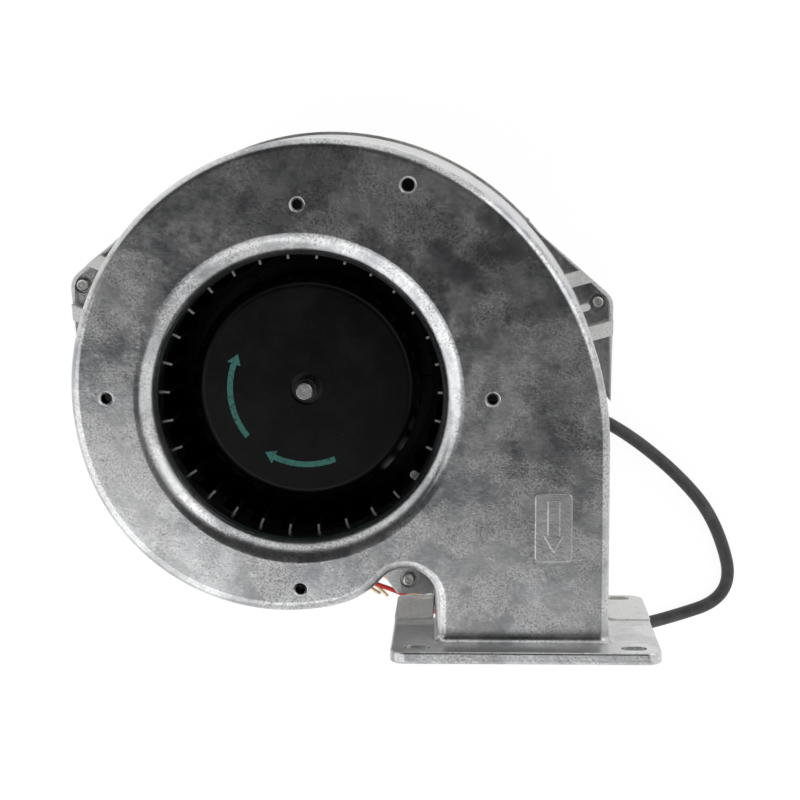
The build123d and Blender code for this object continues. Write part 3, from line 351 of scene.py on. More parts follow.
class Stains(EffectGroup):
    """Cloudy blotches with soft rims, as old splashes leave on bare metal."""

    name: str = "stains"
    sizes: dict[str, float] = {"Scale": 40.0, "Cover": 0.5}
    outputs: tuple[str, ...] = ("Mask", "Rim")
    push: float = 0.012
    edge_bare: float = 0.62
    edge_drop: float = 0.24
    softness: float = 0.07
    rim_width: float = 0.02
    layers: Noise = (6.0, 0.6)

    def fill(self, sheet: NodeSheet, place: Signal, scale: Signal, cover: Signal) -> tuple[Signal, ...]:
        """Makes the nodes from two layers of noise.

        Args:
            sheet: the sheet for the group's tree.
            place: where it is read.
            scale: how many blotches go into a metre.
            cover: how much they cover, from 0 to 1.

        Returns:
            The blotches and their rims.
        """
        bend = sheet.get("ShaderNodeTexNoise", {"Vector": place, "Scale": scale, "Detail": 2.0}, "Color")
        cloud = sheet.noise(sheet.vector("ADD", place, sheet.scaled(bend, self.push)), scale, *self.layers)
        edge = self.edge_bare - cover * self.edge_drop
        rim = 1.0 - sheet.ramp(abs(cloud - edge), 0.0, self.rim_width)
        return sheet.ramp(cloud, edge - self.softness, edge + self.softness), rim


class FlowMarks(EffectGroup):
    """Fine worm-like marks, bright flecks and small dark pits, as tumbled die castings show."""

    name: str = "flow_marks"
    sizes: dict[str, float] = {"Scale": 420.0}
    outputs: tuple[str, ...] = ("Mask", "Flecks", "Pits")
    ridged: dict[str, float] = {"Detail": 5.0, "Roughness": 0.62, "Offset": 0.9, "Gain": 1.6}
    fine: Noise = (4.0, 0.75, 0.5)
    patch: Noise = (4.0, 0.65)
    worm_scale: float = 1.9
    fine_scale: float = 2.6
    patch_scale: float = 0.16
    worm_ramp: Pair = (0.74, 0.86)
    fleck_ramp: Pair = (0.54, 0.64)
    fleck_patches: Pair = (0.42, 0.54)
    pit_ramp: Pair = (0.48, 0.36)
    pit_patches: Pair = (0.40, 0.56)

    def fill(self, sheet: NodeSheet, place: Signal, scale: Signal) -> tuple[Signal, ...]:
        """Makes the nodes: ridged noise for the marks, and bent noise for flecks and pits.

        Args:
            sheet: the sheet for the group's tree.
            place: where it is read.
            scale: how many marks go into a metre.

        Returns:
            The worm-like marks, the bright flecks and the dark pits.
        """
        marks = []
        for size in (scale, scale * self.worm_scale):
            values = {"Vector": place, "Scale": size, **self.ridged}
            ridged = {"noise_type": "RIDGED_MULTIFRACTAL", "normalize": True}
            marks.append(sheet.get("ShaderNodeTexNoise", values, "Fac", **ridged))
        fine = sheet.noise(place, scale * self.fine_scale, *self.fine)
        patch = sheet.noise(place, scale * self.patch_scale, *self.patch)
        lines = sheet.most(sheet.ramp(fine, *self.fleck_ramp), sheet.ramp(marks[1], *self.worm_ramp))
        flecks = lines * sheet.ramp(patch, *self.fleck_patches)
        return marks[0], flecks, sheet.ramp(fine, *self.pit_ramp) * sheet.ramp(patch, *self.pit_patches)


class Scratches(EffectGroup):
    """Fine scratches in one main direction, broken up into short strokes."""

    name: str = "scratches"
    sizes: dict[str, float] = {"Turn": 0.6, "Fineness": 2600.0, "Cover": 0.5}
    pull: Point = (1.0, 0.018, 1.0)
    lines: Noise = (1.0, 0.4)
    line_ramp: Pair = (0.66, 0.74)
    breaks: Noise = (90.0, 3.0, 0.6)
    break_start: float = 0.75
    break_drop: float = 0.4
    break_width: float = 0.12

    def fill(
        self, sheet: NodeSheet, place: Signal, turn: Signal, fineness: Signal, cover: Signal
    ) -> tuple[Signal, ...]:
        """Makes the nodes: noise pulled out along one direction, and a second one that breaks it.

        Args:
            sheet: the sheet for the group's tree.
            place: where it is read.
            turn: the direction, in radians.
            fineness: how many scratches go into a metre.
            cover: the share that is scratched.

        Returns:
            The scratches.
        """
        spin = sheet.get("ShaderNodeVectorRotate", {"Vector": place, "Angle": turn}, rotation_type="Z_AXIS")
        lines = sheet.noise(sheet.vector("MULTIPLY", spin, self.pull), fineness, *self.lines)
        breaks = sheet.noise(place, *self.breaks)
        start = self.break_start - cover * self.break_drop
        return (sheet.ramp(lines, *self.line_ramp) * sheet.ramp(breaks, start, start + self.break_width),)


class EdgeWear(EffectGroup):
    """Rounds the shading of sharp edges and gives a mask of where they are rubbed bright."""

    name: str = "edge_wear"
    sizes: dict[str, float] = {"Radius": 0.4 * MM}
    outputs: tuple[str, ...] = ("Mask", "Normal")
    away_ramp: Pair = (0.01, 0.12)
    breaks: Noise = (700.0, 3.0, 0.6)
    break_ramp: Pair = (0.3, 0.6)

    def fill(self, sheet: NodeSheet, place: Signal, radius: Signal) -> tuple[Signal, ...]:
        """Makes the nodes: the rounded normal set against the true one.

        Args:
            sheet: the sheet for the group's tree.
            place: where the break-up is read.
            radius: the rounding radius.

        Returns:
            The mask and the rounded normal.
        """
        rounded = sheet.get("ShaderNodeBevel", {"Radius": radius}, samples=4)
        true = sheet.get("ShaderNodeNewGeometry", out="Normal")
        away = sheet.math("SUBTRACT", 1.0, sheet.measure("DOT_PRODUCT", rounded, true), clamp=True)
        broken = sheet.noise(place, *self.breaks)
        return sheet.ramp(away, *self.away_ramp) * sheet.ramp(broken, *self.break_ramp), rounded


class Grain(EffectGroup):
    """Fine even roughness of a cast, moulded or sprayed surface, as a height."""

    name: str = "grain"
    sizes: dict[str, float] = {"Scale": 900.0}
    outputs: tuple[str, ...] = ("Height",)
    layers: Noise = (3.0, 0.6)
    pit_scale: float = 0.4
    pit_ramp: Pair = (0.0, 0.35)
    pit_share: float = 0.35

    def fill(self, sheet: NodeSheet, place: Signal, scale: Signal) -> tuple[Signal, ...]:
        """Makes the nodes: fine noise with round pits in it.

        Args:
            sheet: the sheet for the group's tree.
            place: where it is read.
            scale: how many grains go into a metre.

        Returns:
            The height.
        """
        fine = sheet.noise(place, scale, *self.layers)
        cells = {"Vector": place, "Scale": scale * self.pit_scale}
        pits = sheet.get("ShaderNodeTexVoronoi", cells, "Distance")
        return (fine + sheet.ramp(pits, *self.pit_ramp) * self.pit_share,)


class TurnedRings(EffectGroup):
    """Rings around the fan axis, as a lathe or a spinning tool leaves them."""

    name: str = "turned_rings"
    sizes: dict[str, float] = {"Rings": 3000.0}
    layers: Noise = (3.0, 0.7)

    def fill(self, sheet: NodeSheet, place: Signal, rings: Signal) -> tuple[Signal, ...]:
        """Makes the nodes: noise read by the distance from the axis and the height."""
        ringed = sheet.join(sheet.off_axis(place), sheet.split(place)[2])
        return (sheet.noise(ringed, rings, *self.layers),)


@dataclass(frozen=True)
class Finish:
    """A finish with a name, which makes its own material."""

    name: str

    def build(self) -> Material:
        """Makes the material.

        Returns:
            The material.
        """
        material = bpy.data.materials.new(self.name)
        sheet = empty_sheet(material)
        skin = sheet.add("ShaderNodeBsdfPrincipled")
        sheet.add("ShaderNodeOutputMaterial", {"Surface": Signal(sheet, skin.outputs[0])})
        sheet.feed(skin, self.dress(sheet, sheet.get("ShaderNodeTexCoord", out="Object")))
        return material

    def dress(self, sheet: NodeSheet, place: Signal) -> Inputs:
        """Adds the finish's nodes.

        Args:
            sheet: the material's sheet.
            place: the place on the piece.

        Returns:
            The value or signal for each input of the skin.
        """
        raise NotImplementedError


@dataclass(frozen=True)
class CastMetal(Finish):
    """Die cast aluminium, tumbled and long in store: clouded, stained, flecked and finely scratched."""

    light: Colour = (0.68, 0.69, 0.70)
    dark: Colour = (0.34, 0.35, 0.37)
    stain: Colour = (0.24, 0.23, 0.21)
    bright: Colour = (0.88, 0.875, 0.86)
    unlit: Colour = (0.02, 0.02, 0.02)
    cloud: Noise = (30.0, 7.0, 0.62, 0.4)
    cloud_share: float = 0.55
    patch: Noise = (150.0, 8.0, 0.78, 0.2)
    patch_share: float = 0.45
    tone_ramp: Pair = (0.36, 0.64)
    stain_scale: float = 34.0
    stain_cover: float = 0.45
    stain_share: float = 0.30
    stain_drop: float = 0.22
    rim_share: float = 0.16
    pit_share: float = 0.55
    pit_rise: float = 0.15
    fleck_scale: float = 500.0
    fleck_share: float = 0.36
    scratches: tuple[Point, Point] = ((0.55, 2400.0, 0.5), (1.9, 3100.0, 0.35))
    scratch_share: float = 0.45
    rub_share: float = 0.6
    rub_polish: float = 0.06
    uneven: Pair = (0.35, 0.85)
    rough: Pair = (0.14, 0.26)
    side_rough: float = 0.30
    side_metal: float = 0.45
    side_lift: float = 0.66
    wall_share: float = 0.40
    upright_ramp: Pair = (0.35, 0.05)
    throat_radius: float = 52.0 * MM
    rib_from: float = 22.4 * MM
    rib_to: float = 60.0 * MM
    grain_scale: float = 1300.0
    grain_depth: float = 0.010 * MM
    scratch_depth: float = 0.25
    ridge_height: float = 0.35
    pit_depth: float = 0.4
    edge_radius: float = 0.45 * MM

    def lift(self, sheet: NodeSheet, place: Signal) -> Value:
        """Returns how much the colour is lifted as a painted sheen where the casting is smoother; none here.
        """
        return 0.0

    def grime(self, sheet: NodeSheet, place: Signal) -> Value:
        """Returns the mask of places painted dark as shade; none here."""
        return 0.0

    def rough_cast(self, sheet: NodeSheet, place: Signal) -> Signal:
        """Masks what the tumbling didn't polish, whose colour is also painted lighter as light: upright
        walls outside the throat, and low ribs.

        Args:
            sheet: the material's sheet.
            place: the place on the piece.

        Returns:
            The mask.
        """
        upright = sheet.ramp(abs(sheet.upward()), *self.upright_ramp)
        outside = upright * (sheet.off_axis(place) > self.throat_radius)
        height = sheet.split(place)[2]
        ribs = (height > self.rib_from) * (height < self.rib_to)
        return sheet.most(outside * self.wall_share, ribs)

    def dress(self, sheet: NodeSheet, place: Signal) -> Inputs:
        """Adds the nodes: clouds, stains, pits, flecks, scratches, rubbed edges, walls painted lighter as
        light, and places painted dark as shade.

        Args:
            sheet: the material's sheet.
            place: the place on the piece.

        Returns:
            The signals for the skin.
        """
        side = self.rough_cast(sheet, place)
        cloud, patch = (sheet.noise(place, *layers) for layers in (self.cloud, self.patch))
        broad = cloud * self.cloud_share + patch * self.patch_share
        ridges, flecks, pits = FlowMarks().use(sheet, place, self.fleck_scale)
        stains, rims = Stains().use(sheet, place, self.stain_scale, self.stain_cover)
        marks = [Scratches().use(sheet, place, *values)[0] for values in self.scratches]
        scratched = sheet.math("ADD", *marks, clamp=True)
        rubbed, rounded = EdgeWear().use(sheet, place, self.edge_radius)
        # Painted light: the side mask lifts upright walls and ribs towards the bright colour.
        low, high = (sheet.mix(side * self.side_lift, tone, self.bright) for tone in (self.dark, self.light))
        colour = sheet.mix(sheet.ramp(broad, *self.tone_ramp), low, high)
        stained = stains * (self.stain_share - side * self.stain_drop)
        stained = sheet.math("ADD", stained, rims * self.rim_share, clamp=True)
        colour = sheet.mix(stained, colour, self.stain)
        colour = sheet.mix(pits * (side * self.pit_rise + self.pit_share), colour, self.stain)
        # Rubbed edges, flecks and scratches are real wear; the lift added below is a painted sheen.
        lit = sheet.most(rubbed * self.rub_share, flecks * self.fleck_share)
        lit = sheet.most(sheet.most(lit, scratched * self.scratch_share), self.lift(sheet, place))
        # Painted shade: the mask below paints its places near black.
        colour = sheet.mix(self.grime(sheet, place), sheet.mix(lit, colour, self.bright), self.unlit)
        rough = sheet.span(broad + stained, self.uneven, self.rough)
        grain = Grain().use(sheet, place, self.grain_scale)[0]
        height = grain - scratched * self.scratch_depth + ridges * self.ridge_height - pits * self.pit_depth
        return {
            "Metallic": 1.0 - side * (1.0 - self.side_metal),
            "Base Color": colour,
            "Roughness": rough - rubbed * self.rub_polish + side * self.side_rough,
            "Normal": sheet.bump(height, self.grain_depth, rounded),
        }


@dataclass(frozen=True)
class PlateCasting(CastMetal):
    """The face's casting: the top of its raised arrow plate is painted paler as a sheen, and its bores are
    painted dark as shade.
    """

    plate_middle: Pair = (84.9 * MM, -43.0 * MM)
    plate_half: Pair = (6.1 * MM, 11.5 * MM)
    plate_level: float = 85.3 * MM
    plate_lift: float = 0.42
    bore_axes: tuple[Point, ...] = (
        (64.5 * MM, 0.0, 0.0),
        (0.0, 64.5 * MM, 0.0),
        (-64.5 * MM, 0.0, 0.0),
        (0.0, -64.5 * MM, 0.0),
        (36.5 * MM, 70.8 * MM, 0.0),
    )
    bore_reach: float = 2.2 * MM
    bore_top: float = 84.1 * MM

    def lift(self, sheet: NodeSheet, place: Signal) -> Signal:
        """Lifts the colour by a share on the plate and nothing elsewhere, as a painted sheen.

        Args:
            sheet: the material's sheet.
            place: the place on the piece.

        Returns:
            How much it is lifted.
        """
        x, y, height = sheet.split(place)
        inside = height > self.plate_level
        for axis, middle, half in zip((x, y), self.plate_middle, self.plate_half):
            inside = inside * (abs(axis - middle) < half)
        # Painted sheen: the plate's top is lifted towards the bright colour.
        return inside * self.plate_lift

    def grime(self, sheet: NodeSheet, place: Signal) -> Signal:
        """Masks the bores' insides, which are painted dark as shade: near a bore's axis and below its mouth.

        Args:
            sheet: the material's sheet.
            place: the place on the piece.

        Returns:
            The mask.
        """
        x, y, height = sheet.split(place)
        near = 0.0
        for axis in self.bore_axes:
            near = sheet.most(near, sheet.measure("DISTANCE", sheet.join(x, y), axis) < self.bore_reach)
        # Painted shade inside the bores.
        return near * (height < self.bore_top)


@dataclass(frozen=True)
class BackCasting(CastMetal):
    """The back half's casting: its inner floor and the spot under the pressure tap are painted dark as
    shade, and its colours are painted lighter as light.
    """

    # Lighter than the face casting's colours: painted light on the shaded back half.
    light: Colour = (0.80, 0.79, 0.77)
    dark: Colour = (0.52, 0.51, 0.49)
    stain_cover: float = 0.3
    rough: Pair = (0.34, 0.52)
    side_rough: float = 0.10
    side_metal: float = 0.15
    side_lift: float = 0.90
    wall_share: float = 1.0
    floor_middle: Point = (0.0, 0.0, 18.0 * MM)
    floor_slack: float = 0.3 * MM
    floor_radius: float = 72.0 * MM
    floor_share: float = 0.9
    tap_axis: Point = (36.5 * MM, 70.8 * MM, 18.0 * MM)
    tap_reach: float = 7.0 * MM

    def grime(self, sheet: NodeSheet, place: Signal) -> Signal:
        """Masks the inner floor round the middle and under the pressure tap, which are painted dark as
        shade.

        Args:
            sheet: the material's sheet.
            place: the place on the piece.

        Returns:
            The mask.
        """
        level = abs(sheet.split(place)[2] - self.floor_middle[2]) < self.floor_slack
        middle = sheet.measure("DISTANCE", place, self.floor_middle) < self.floor_radius
        tap = sheet.measure("DISTANCE", place, self.tap_axis) < self.tap_reach
        # Painted shade on the inner floor and under the tap.
        return level * (sheet.most(middle, tap) * self.floor_share)


@dataclass(frozen=True)
class PlatedSteel(Finish):
    """Plated or ground steel with fine rings from turning and a little tarnish."""

    light: Colour = (0.66, 0.66, 0.65)
    dark: Colour = (0.36, 0.35, 0.34)
    rings: float = 5200.0
    tarnish: Noise = (260.0, 5.0, 0.65)
    tarnish_ramp: Pair = (0.42, 0.70)
    tarnish_share: float = 0.6
    uneven: Pair = (0.3, 1.4)
    rough: Pair = (0.18, 0.38)
    depth: float = 0.008 * MM
    edge_radius: float = 0.15 * MM

    def dress(self, sheet: NodeSheet, place: Signal) -> Inputs:
        """Adds the nodes: turned rings, tarnish and rubbed edges.

        Args:
            sheet: the material's sheet.
            place: the place on the piece.

        Returns:
            The values and signals for the skin.
        """
        turned = TurnedRings().use(sheet, place, self.rings)[0]
        tarnish = sheet.ramp(sheet.noise(place, *self.tarnish), *self.tarnish_ramp)
        worn, rounded = EdgeWear().use(sheet, place, self.edge_radius)
        colour = sheet.mix(tarnish * self.tarnish_share, self.light, self.dark)
        return {
            "Metallic": 1.0,
            "Base Color": sheet.mix(worn, colour, self.light),
            "Roughness": sheet.span(turned + tarnish, self.uneven, self.rough),
            "Normal": sheet.bump(turned, self.depth, rounded),
        }


@dataclass(frozen=True)
class BlackPaint(Finish):
    """Semi-gloss black paint or coating on metal, with dust specks, rubbed edges, and bare strip ends facing
    up that are painted light as a highlight.
    """

    tone: Colour = (0.0014, 0.0015, 0.0015)
    dust: Colour = (0.020, 0.020, 0.020)
    bare: Colour = (0.42, 0.42, 0.41)
    gloss: float = 0.20
    haze: Noise = (55.0, 6.0, 0.65)
    haze_ramp: Pair = (0.42, 0.75)
    haze_share: float = 0.16
    specks: Noise = (1900.0, 2.0, 0.5)
    speck_ramp: Pair = (0.71, 0.78)
    dust_share: float = 0.6
    uneven: Pair = (0.35, 1.1)
    rough: Pair = (0.22, 0.40)
    peel_scale: float = 1500.0
    peel_depth: float = 0.012 * MM
    wear: float = 0.45
    bare_ends: float = 0.0
    end_ramp: Pair = (0.80, 0.95)
    edge_radius: float = 0.25 * MM

    def dress(self, sheet: NodeSheet, place: Signal) -> Inputs:
        """Adds the nodes: haze, dust specks, worn edges, ends facing up painted light as a highlight, and a
        fine peel.

        Args:
            sheet: the material's sheet.
            place: the place on the piece.

        Returns:
            The values and signals for the skin.
        """
        haze = sheet.noise(place, *self.haze)
        speck = sheet.ramp(sheet.noise(place, *self.specks), *self.speck_ramp)
        dusty = sheet.math("ADD", sheet.ramp(haze, *self.haze_ramp) * self.haze_share, speck, clamp=True)
        colour = sheet.mix(dusty * self.dust_share, self.tone, self.dust)
        worn, rounded = EdgeWear().use(sheet, place, self.edge_radius)
        rubbed = worn * self.wear
        # Painted highlight: faces pointing up take the light bare colour, partly as bare strip ends.
        ends = sheet.ramp(sheet.upward(), *self.end_ramp) * self.bare_ends
        grain = Grain().use(sheet, place, self.peel_scale)[0]
        return {
            "Specular IOR Level": self.gloss,
            "Base Color": sheet.mix(sheet.most(rubbed, ends), colour, self.bare),
            "Metallic": sheet.math("SUBTRACT", rubbed, ends, clamp=True),
            "Roughness": sheet.span(haze + dusty, self.uneven, self.rough),
            "Normal": sheet.bump(grain, self.peel_depth, rounded),
        }


@dataclass(frozen=True)
class Moulded(Finish):
    """Plastic or rubber with a fine grain, slightly uneven in tone."""

    tone: Colour = (0.02, 0.02, 0.022)
    pale: Colour = (0.045, 0.045, 0.047)
    cloud: Noise = (120.0, 5.0, 0.65)
    scuff_ramp: Pair = (0.4, 0.72)
    uneven: Pair = (0.3, 0.7)
    rough: Pair = (0.45, 0.62)
    grain_scale: float = 1800.0
    grain_depth: float = 0.02 * MM
    edge_radius: float = 0.2 * MM

    def dress(self, sheet: NodeSheet, place: Signal) -> Inputs:
        """Adds the nodes: clouds, scuffed edges and grain.

        Args:
            sheet: the material's sheet.
            place: the place on the piece.

        Returns:
            The signals for the skin.
        """
        cloud = sheet.noise(place, *self.cloud)
        worn, rounded = EdgeWear().use(sheet, place, self.edge_radius)
        scuffed = sheet.math("ADD", sheet.ramp(cloud, *self.scuff_ramp), worn, clamp=True)
        grain = Grain().use(sheet, place, self.grain_scale)[0]
        return {
            "Base Color": sheet.mix(scuffed, self.tone, self.pale),
            "Roughness": sheet.span(cloud, self.uneven, self.rough),
            "Normal": sheet.bump(grain, self.grain_depth, rounded),
        }


@dataclass(frozen=True)
class Laminations(Finish):
    """Stamped electrical sheet in a stack, seen as fine lines across the stack."""

    tone: Colour = (0.20, 0.20, 0.205)
    gap: Colour = (0.05, 0.05, 0.055)
    sheets: float = 2000.0
    line_ramp: Pair = (0.55, 0.95)
    cloud: Noise = (300.0, 4.0, 0.6)
    cloud_share: float = 0.3
    metal: float = 0.9
    rough: Pair = (0.35, 0.55)
    depth: float = 0.03 * MM

    def dress(self, sheet: NodeSheet, place: Signal) -> Inputs:
        """Adds the nodes: a wave along the stack, clouded.

        Args:
            sheet: the material's sheet.
            place: the place on the piece.

        Returns:
            The values and signals for the skin.
        """
        wave = sheet.math("SINE", sheet.split(place)[2] * (self.sheets * math.tau))
        line = sheet.ramp(wave, *self.line_ramp)
        cloud = sheet.noise(place, *self.cloud)
        shade = sheet.math("ADD", line, cloud * self.cloud_share, clamp=True)
        return {
            "Metallic": self.metal,
            "Base Color": sheet.mix(shade, self.tone, self.gap),
            "Roughness": sheet.span(cloud, (0.0, 1.0), self.rough),
            "Normal": sheet.bump(1.0 - line, self.depth),
        }


@dataclass(frozen=True)
class BoardLacquer(Finish):
    """Green solder lacquer over copper tracks, with bare tinned pads."""

    green: Colour = (0.008, 0.085, 0.035)
    track: Colour = (0.02, 0.16, 0.06)
    pad: Colour = (0.55, 0.55, 0.52)
    cell_scale: float = 260.0
    uneven_cells: float = 0.25
    track_ramp: Pair = (0.08, 0.12)
    pad_ramp: Pair = (0.10, 0.14)
    cloud: Noise = (200.0, 3.0, 0.5)
    rough: Pair = (0.2, 0.4)
    depth: float = 0.03 * MM

    def dress(self, sheet: NodeSheet, place: Signal) -> Inputs:
        """Adds the nodes: tracks between cells and a pad in each.

        Args:
            sheet: the material's sheet.
            place: the place on the piece.

        Returns:
            The signals for the skin.
        """
        cells = {"Vector": place, "Scale": self.cell_scale, "Randomness": self.uneven_cells}
        edge = sheet.get("ShaderNodeTexVoronoi", cells, "Distance", feature="DISTANCE_TO_EDGE")
        track = 1.0 - sheet.ramp(edge, *self.track_ramp)
        pad = 1.0 - sheet.ramp(sheet.get("ShaderNodeTexVoronoi", cells, "Distance"), *self.pad_ramp)
        cloud = sheet.noise(place, *self.cloud)
        return {
            "Base Color": sheet.mix(pad, sheet.mix(track, self.green, self.track), self.pad),
            "Metallic": pad,
            "Roughness": sheet.span(cloud, (0.0, 1.0), self.rough),
            "Normal": sheet.bump(track + pad, self.depth),
        }


@dataclass(frozen=True)
class PrintInk(Finish):
    """Thin printed ink on paint, with worn spots where the paint shows through."""

    ink: Colour = (0.03, 0.19, 0.16)
    under: Colour = (0.015, 0.03, 0.03)
    wear: Noise = (900.0, 4.0, 0.7)
    wear_ramp: Pair = (0.52, 0.66)
    rough: Pair = (0.42, 0.55)
    depth: float = 0.005 * MM

    def dress(self, sheet: NodeSheet, place: Signal) -> Inputs:
        """Adds the nodes: worn spots in the ink.

        Args:
            sheet: the material's sheet.
            place: the place on the piece.

        Returns:
            The signals for the skin.
        """
        worn = sheet.ramp(sheet.noise(place, *self.wear), *self.wear_ramp)
        return {
            "Base Color": sheet.mix(worn, self.ink, self.under),
            "Roughness": sheet.span(worn, (0.0, 1.0), self.rough),
            "Normal": sheet.bump(worn, self.depth),
        }


class Finishes:
    """Every material of the fan, made once."""

    def __init__(self) -> None:
        """Builds the materials."""
        self.face_casting = PlateCasting("scroll_casting").build()
        self.back_casting = BackCasting("back_casting").build()
        finer = (48.0, 7.0, 0.62, 0.4)
        self.motor_casting = CastMetal("motor_casting", cloud=finer, stain_cover=0.25).build()
        self.zinc = PlatedSteel("zinc_plating").build()
        self.ground = PlatedSteel("ground_steel", light=(0.60, 0.60, 0.60), rough=(0.14, 0.30)).build()
        self.spring = PlatedSteel("spring_steel", light=(0.40, 0.39, 0.38), dark=(0.20, 0.19, 0.18)).build()
        self.rotor_paint = BlackPaint("rotor_paint", wear=0.12).build()
        self.blade_coat = BlackPaint("blade_coating", gloss=0.15, rough=(0.40, 0.52), wear=0.85).build()
        dull = {"gloss": 0.05, "rough": (0.40, 0.40)}
        self.blade_steel = BlackPaint("blade_strip", wear=0.2, bare_ends=0.7, **dull).build()
        self.bush_paint = BlackPaint("bush_paint", gloss=0.5, wear=0.5).build()
        ferrite = (0.045, 0.045, 0.046)
        self.magnet = BlackPaint("ferrite", tone=ferrite, rough=(0.5, 0.7), wear=0.1).build()
        self.cover = Moulded("cover_plastic").build()
        self.chip = Moulded("chip_plastic", tone=(0.012, 0.012, 0.013), grain_scale=3200.0).build()
        self.nylon = Moulded("white_nylon", tone=(0.62, 0.60, 0.54), pale=(0.72, 0.70, 0.65)).build()
        self.rubber = Moulded("grommet_rubber", rough=(0.6, 0.78)).build()
        worn_sheath = {"pale": (0.075, 0.075, 0.077), "rough": (0.36, 0.62)}
        self.sheath = Moulded("sheath_pvc", tone=(0.034, 0.034, 0.035), **worn_sheath).build()
        enamel = {"light": (0.56, 0.20, 0.07), "dark": (0.33, 0.10, 0.04)}
        self.copper = PlatedSteel("enamelled_wire", **enamel).build()
        self.stack = Laminations("stator_sheet").build()
        self.board = BoardLacquer("board_lacquer").build()
        self.ink = PrintInk("rotor_print").build()
        self.brass = PlatedSteel("tinned_brass", light=(0.72, 0.62, 0.42), dark=(0.45, 0.36, 0.20)).build()
        tones = {
            Lead.RED: ((0.50, 0.02, 0.012), (0.62, 0.07, 0.04)),
            Lead.YELLOW: ((0.80, 0.36, 0.02), (0.88, 0.50, 0.10)),
            Lead.BLUE: ((0.03, 0.14, 0.45), (0.08, 0.24, 0.58)),
            Lead.WHITE: ((0.70, 0.69, 0.64), (0.80, 0.79, 0.75)),
        }
        self.leads = {
            lead: Moulded("lead_" + lead.value, tone=tone, pale=pale).build()
            for lead, (tone, pale) in tones.items()
        }


def add_object(name: str, data: object) -> Object:
    """Adds an object with its data to the scene and returns it."""
    item = bpy.data.objects.new(name, data)
    bpy.context.scene.collection.objects.link(item)
    return item


def add_piece(name: str, data: Mesh | Curve, material: Material, body: Body) -> Object:
    """Adds a finished mesh or curve to the scene.

    Args:
        name: the piece's name.
        data: its mesh or curve, in the row frame.
        material: its finish.
        body: the body that it moves with.

    Returns:
        The piece.
    """
    piece = add_object(name, data)
    data.materials.clear()
    data.materials.append(material)
    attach(piece, body.value)
    log.info("%s: built on %s", name, body.value)
    return piece


def paint_nodes(looks: dict[str, Material]) -> None:
    """Gives each CAD node that is named its finish and leaves its shape."""
    for node, material in looks.items():
        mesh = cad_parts[node].data
        mesh.materials.clear()
        mesh.materials.append(material)
        log.info("%s: painted %s", node, material.name)


class GeometrySheet(NodeSheet):
    """A sheet for a Geometry Nodes tree whose inputs are named sizes."""

    def __init__(self, name: str, part: object, material: Material, **measured: float) -> None:
        """Makes the tree and its named inputs.

        Args:
            name: the tree's name.
            part: the dataclass whose numbers become inputs.
            material: the finish that the tree sets.
            measured: further sizes that come from the frame.
        """
        super().__init__(bpy.data.node_groups.new(name, "GeometryNodeTree"))
        sizes = measured | {field.name: getattr(part, field.name) for field in fields(part)}
        numbers = {key: value for key, value in sizes.items() if isinstance(value, (int, float))}
        self.values = {key.replace("_", " ").title(): value for key, value in numbers.items()}
        self.socket("Geometry", "Geometry")
        self.socket("Geometry", "Geometry", "OUTPUT")
        for size, value in self.values.items():
            self.socket(size, "Int" if isinstance(value, int) else "Float")
        self.socket("Finish", "Material")
        self.values["Finish"] = material
        self.given = self.add("NodeGroupInput")

    def socket(self, name: str, kind: str, way: str = "INPUT") -> None:
        """Adds a named input or output to the tree."""
        self.tree.interface.new_socket(name, in_out=way, socket_type="NodeSocket" + kind)

    def size(self, *names: str) -> tuple[Signal, ...] | Signal:
        """Returns the signals of the named sizes, or the one signal if there is one name."""
        found = tuple(Signal(self, self.given.outputs[name]) for name in names)
        return found if len(found) > 1 else found[0]

    def raised(self, geometry: Signal, height: Signal) -> Signal:
        """Moves geometry up by a height."""
        return self.get("GeometryNodeTransform", {0: geometry, "Translation": self.join(z=height)})

    def sweep(self, path: Signal, outline: Signal, caps: bool = True) -> Signal:
        """Makes a body from an outline along a path, with closed ends if caps is set."""
        return self.get("GeometryNodeCurveToMesh", {0: path, 1: outline, "Fill Caps": caps})

    def together(self, *parts: Signal) -> Signal:
        """Joins geometry in its order."""
        whole = self.add("GeometryNodeJoinGeometry")
        for part in parts:
            self.feed(whole, {0: part})
        return Signal(self, whole.outputs[0])

    def around(self, part: Signal, count: Signal, level: Signal) -> Signal:
        """Repeats geometry round the fan axis.

        Args:
            part: the geometry, beside the axis.
            count: how many there are.
            level: the height at which they stand.

        Returns:
            The instances.
        """
        line = {"Count": count, "Start Location": self.join(z=level), "Offset": (0.0, 0.0, 0.0)}
        hub = self.get("GeometryNodeMeshLine", line)
        step = self.math("DIVIDE", math.tau, count)
        turn = self.join(z=self.get("GeometryNodeInputIndex") * step)
        return self.get("GeometryNodeInstanceOnPoints", {0: hub, 2: part, "Rotation": turn})

    def grown(self, name: str, geometry: Signal, places: tuple[Point, ...], crease: float = 0.0) -> Mesh:
        """Ends the tree, runs it on loose points and keeps the plain result.

        Args:
            name: the new mesh's name.
            geometry: the made geometry.
            places: the points that the tree starts from.
            crease: the angle from which edges stay sharp, in degrees, or 0 where none does.

        Returns:
            The mesh.
        """
        real = self.get("GeometryNodeRealizeInstances", {0: geometry})
        painted = self.get("GeometryNodeSetMaterial", {0: real, "Material": self.size("Finish")})
        self.add("NodeGroupOutput", {0: painted})
        seed = bpy.data.meshes.new(name + "_places")
        seed.from_pydata(places, [], [])
        carrier = add_object(name + "_carrier", seed)
        modifier = carrier.modifiers.new(name, "NODES")
        modifier.node_group = self.tree
        for item in self.tree.interface.items_tree:
            if item.in_out == "INPUT" and item.name in self.values:
                modifier[item.identifier] = self.values[item.name]
        graph = bpy.context.evaluated_depsgraph_get()
        mesh = bpy.data.meshes.new_from_object(carrier.evaluated_get(graph), depsgraph=graph)
        mesh.name = name
        carrier.modifiers.clear()
        bpy.data.objects.remove(carrier)
        mesh.shade_smooth()
        if crease:
            mesh.set_sharp_from_angle(angle=math.radians(crease))
        return mesh


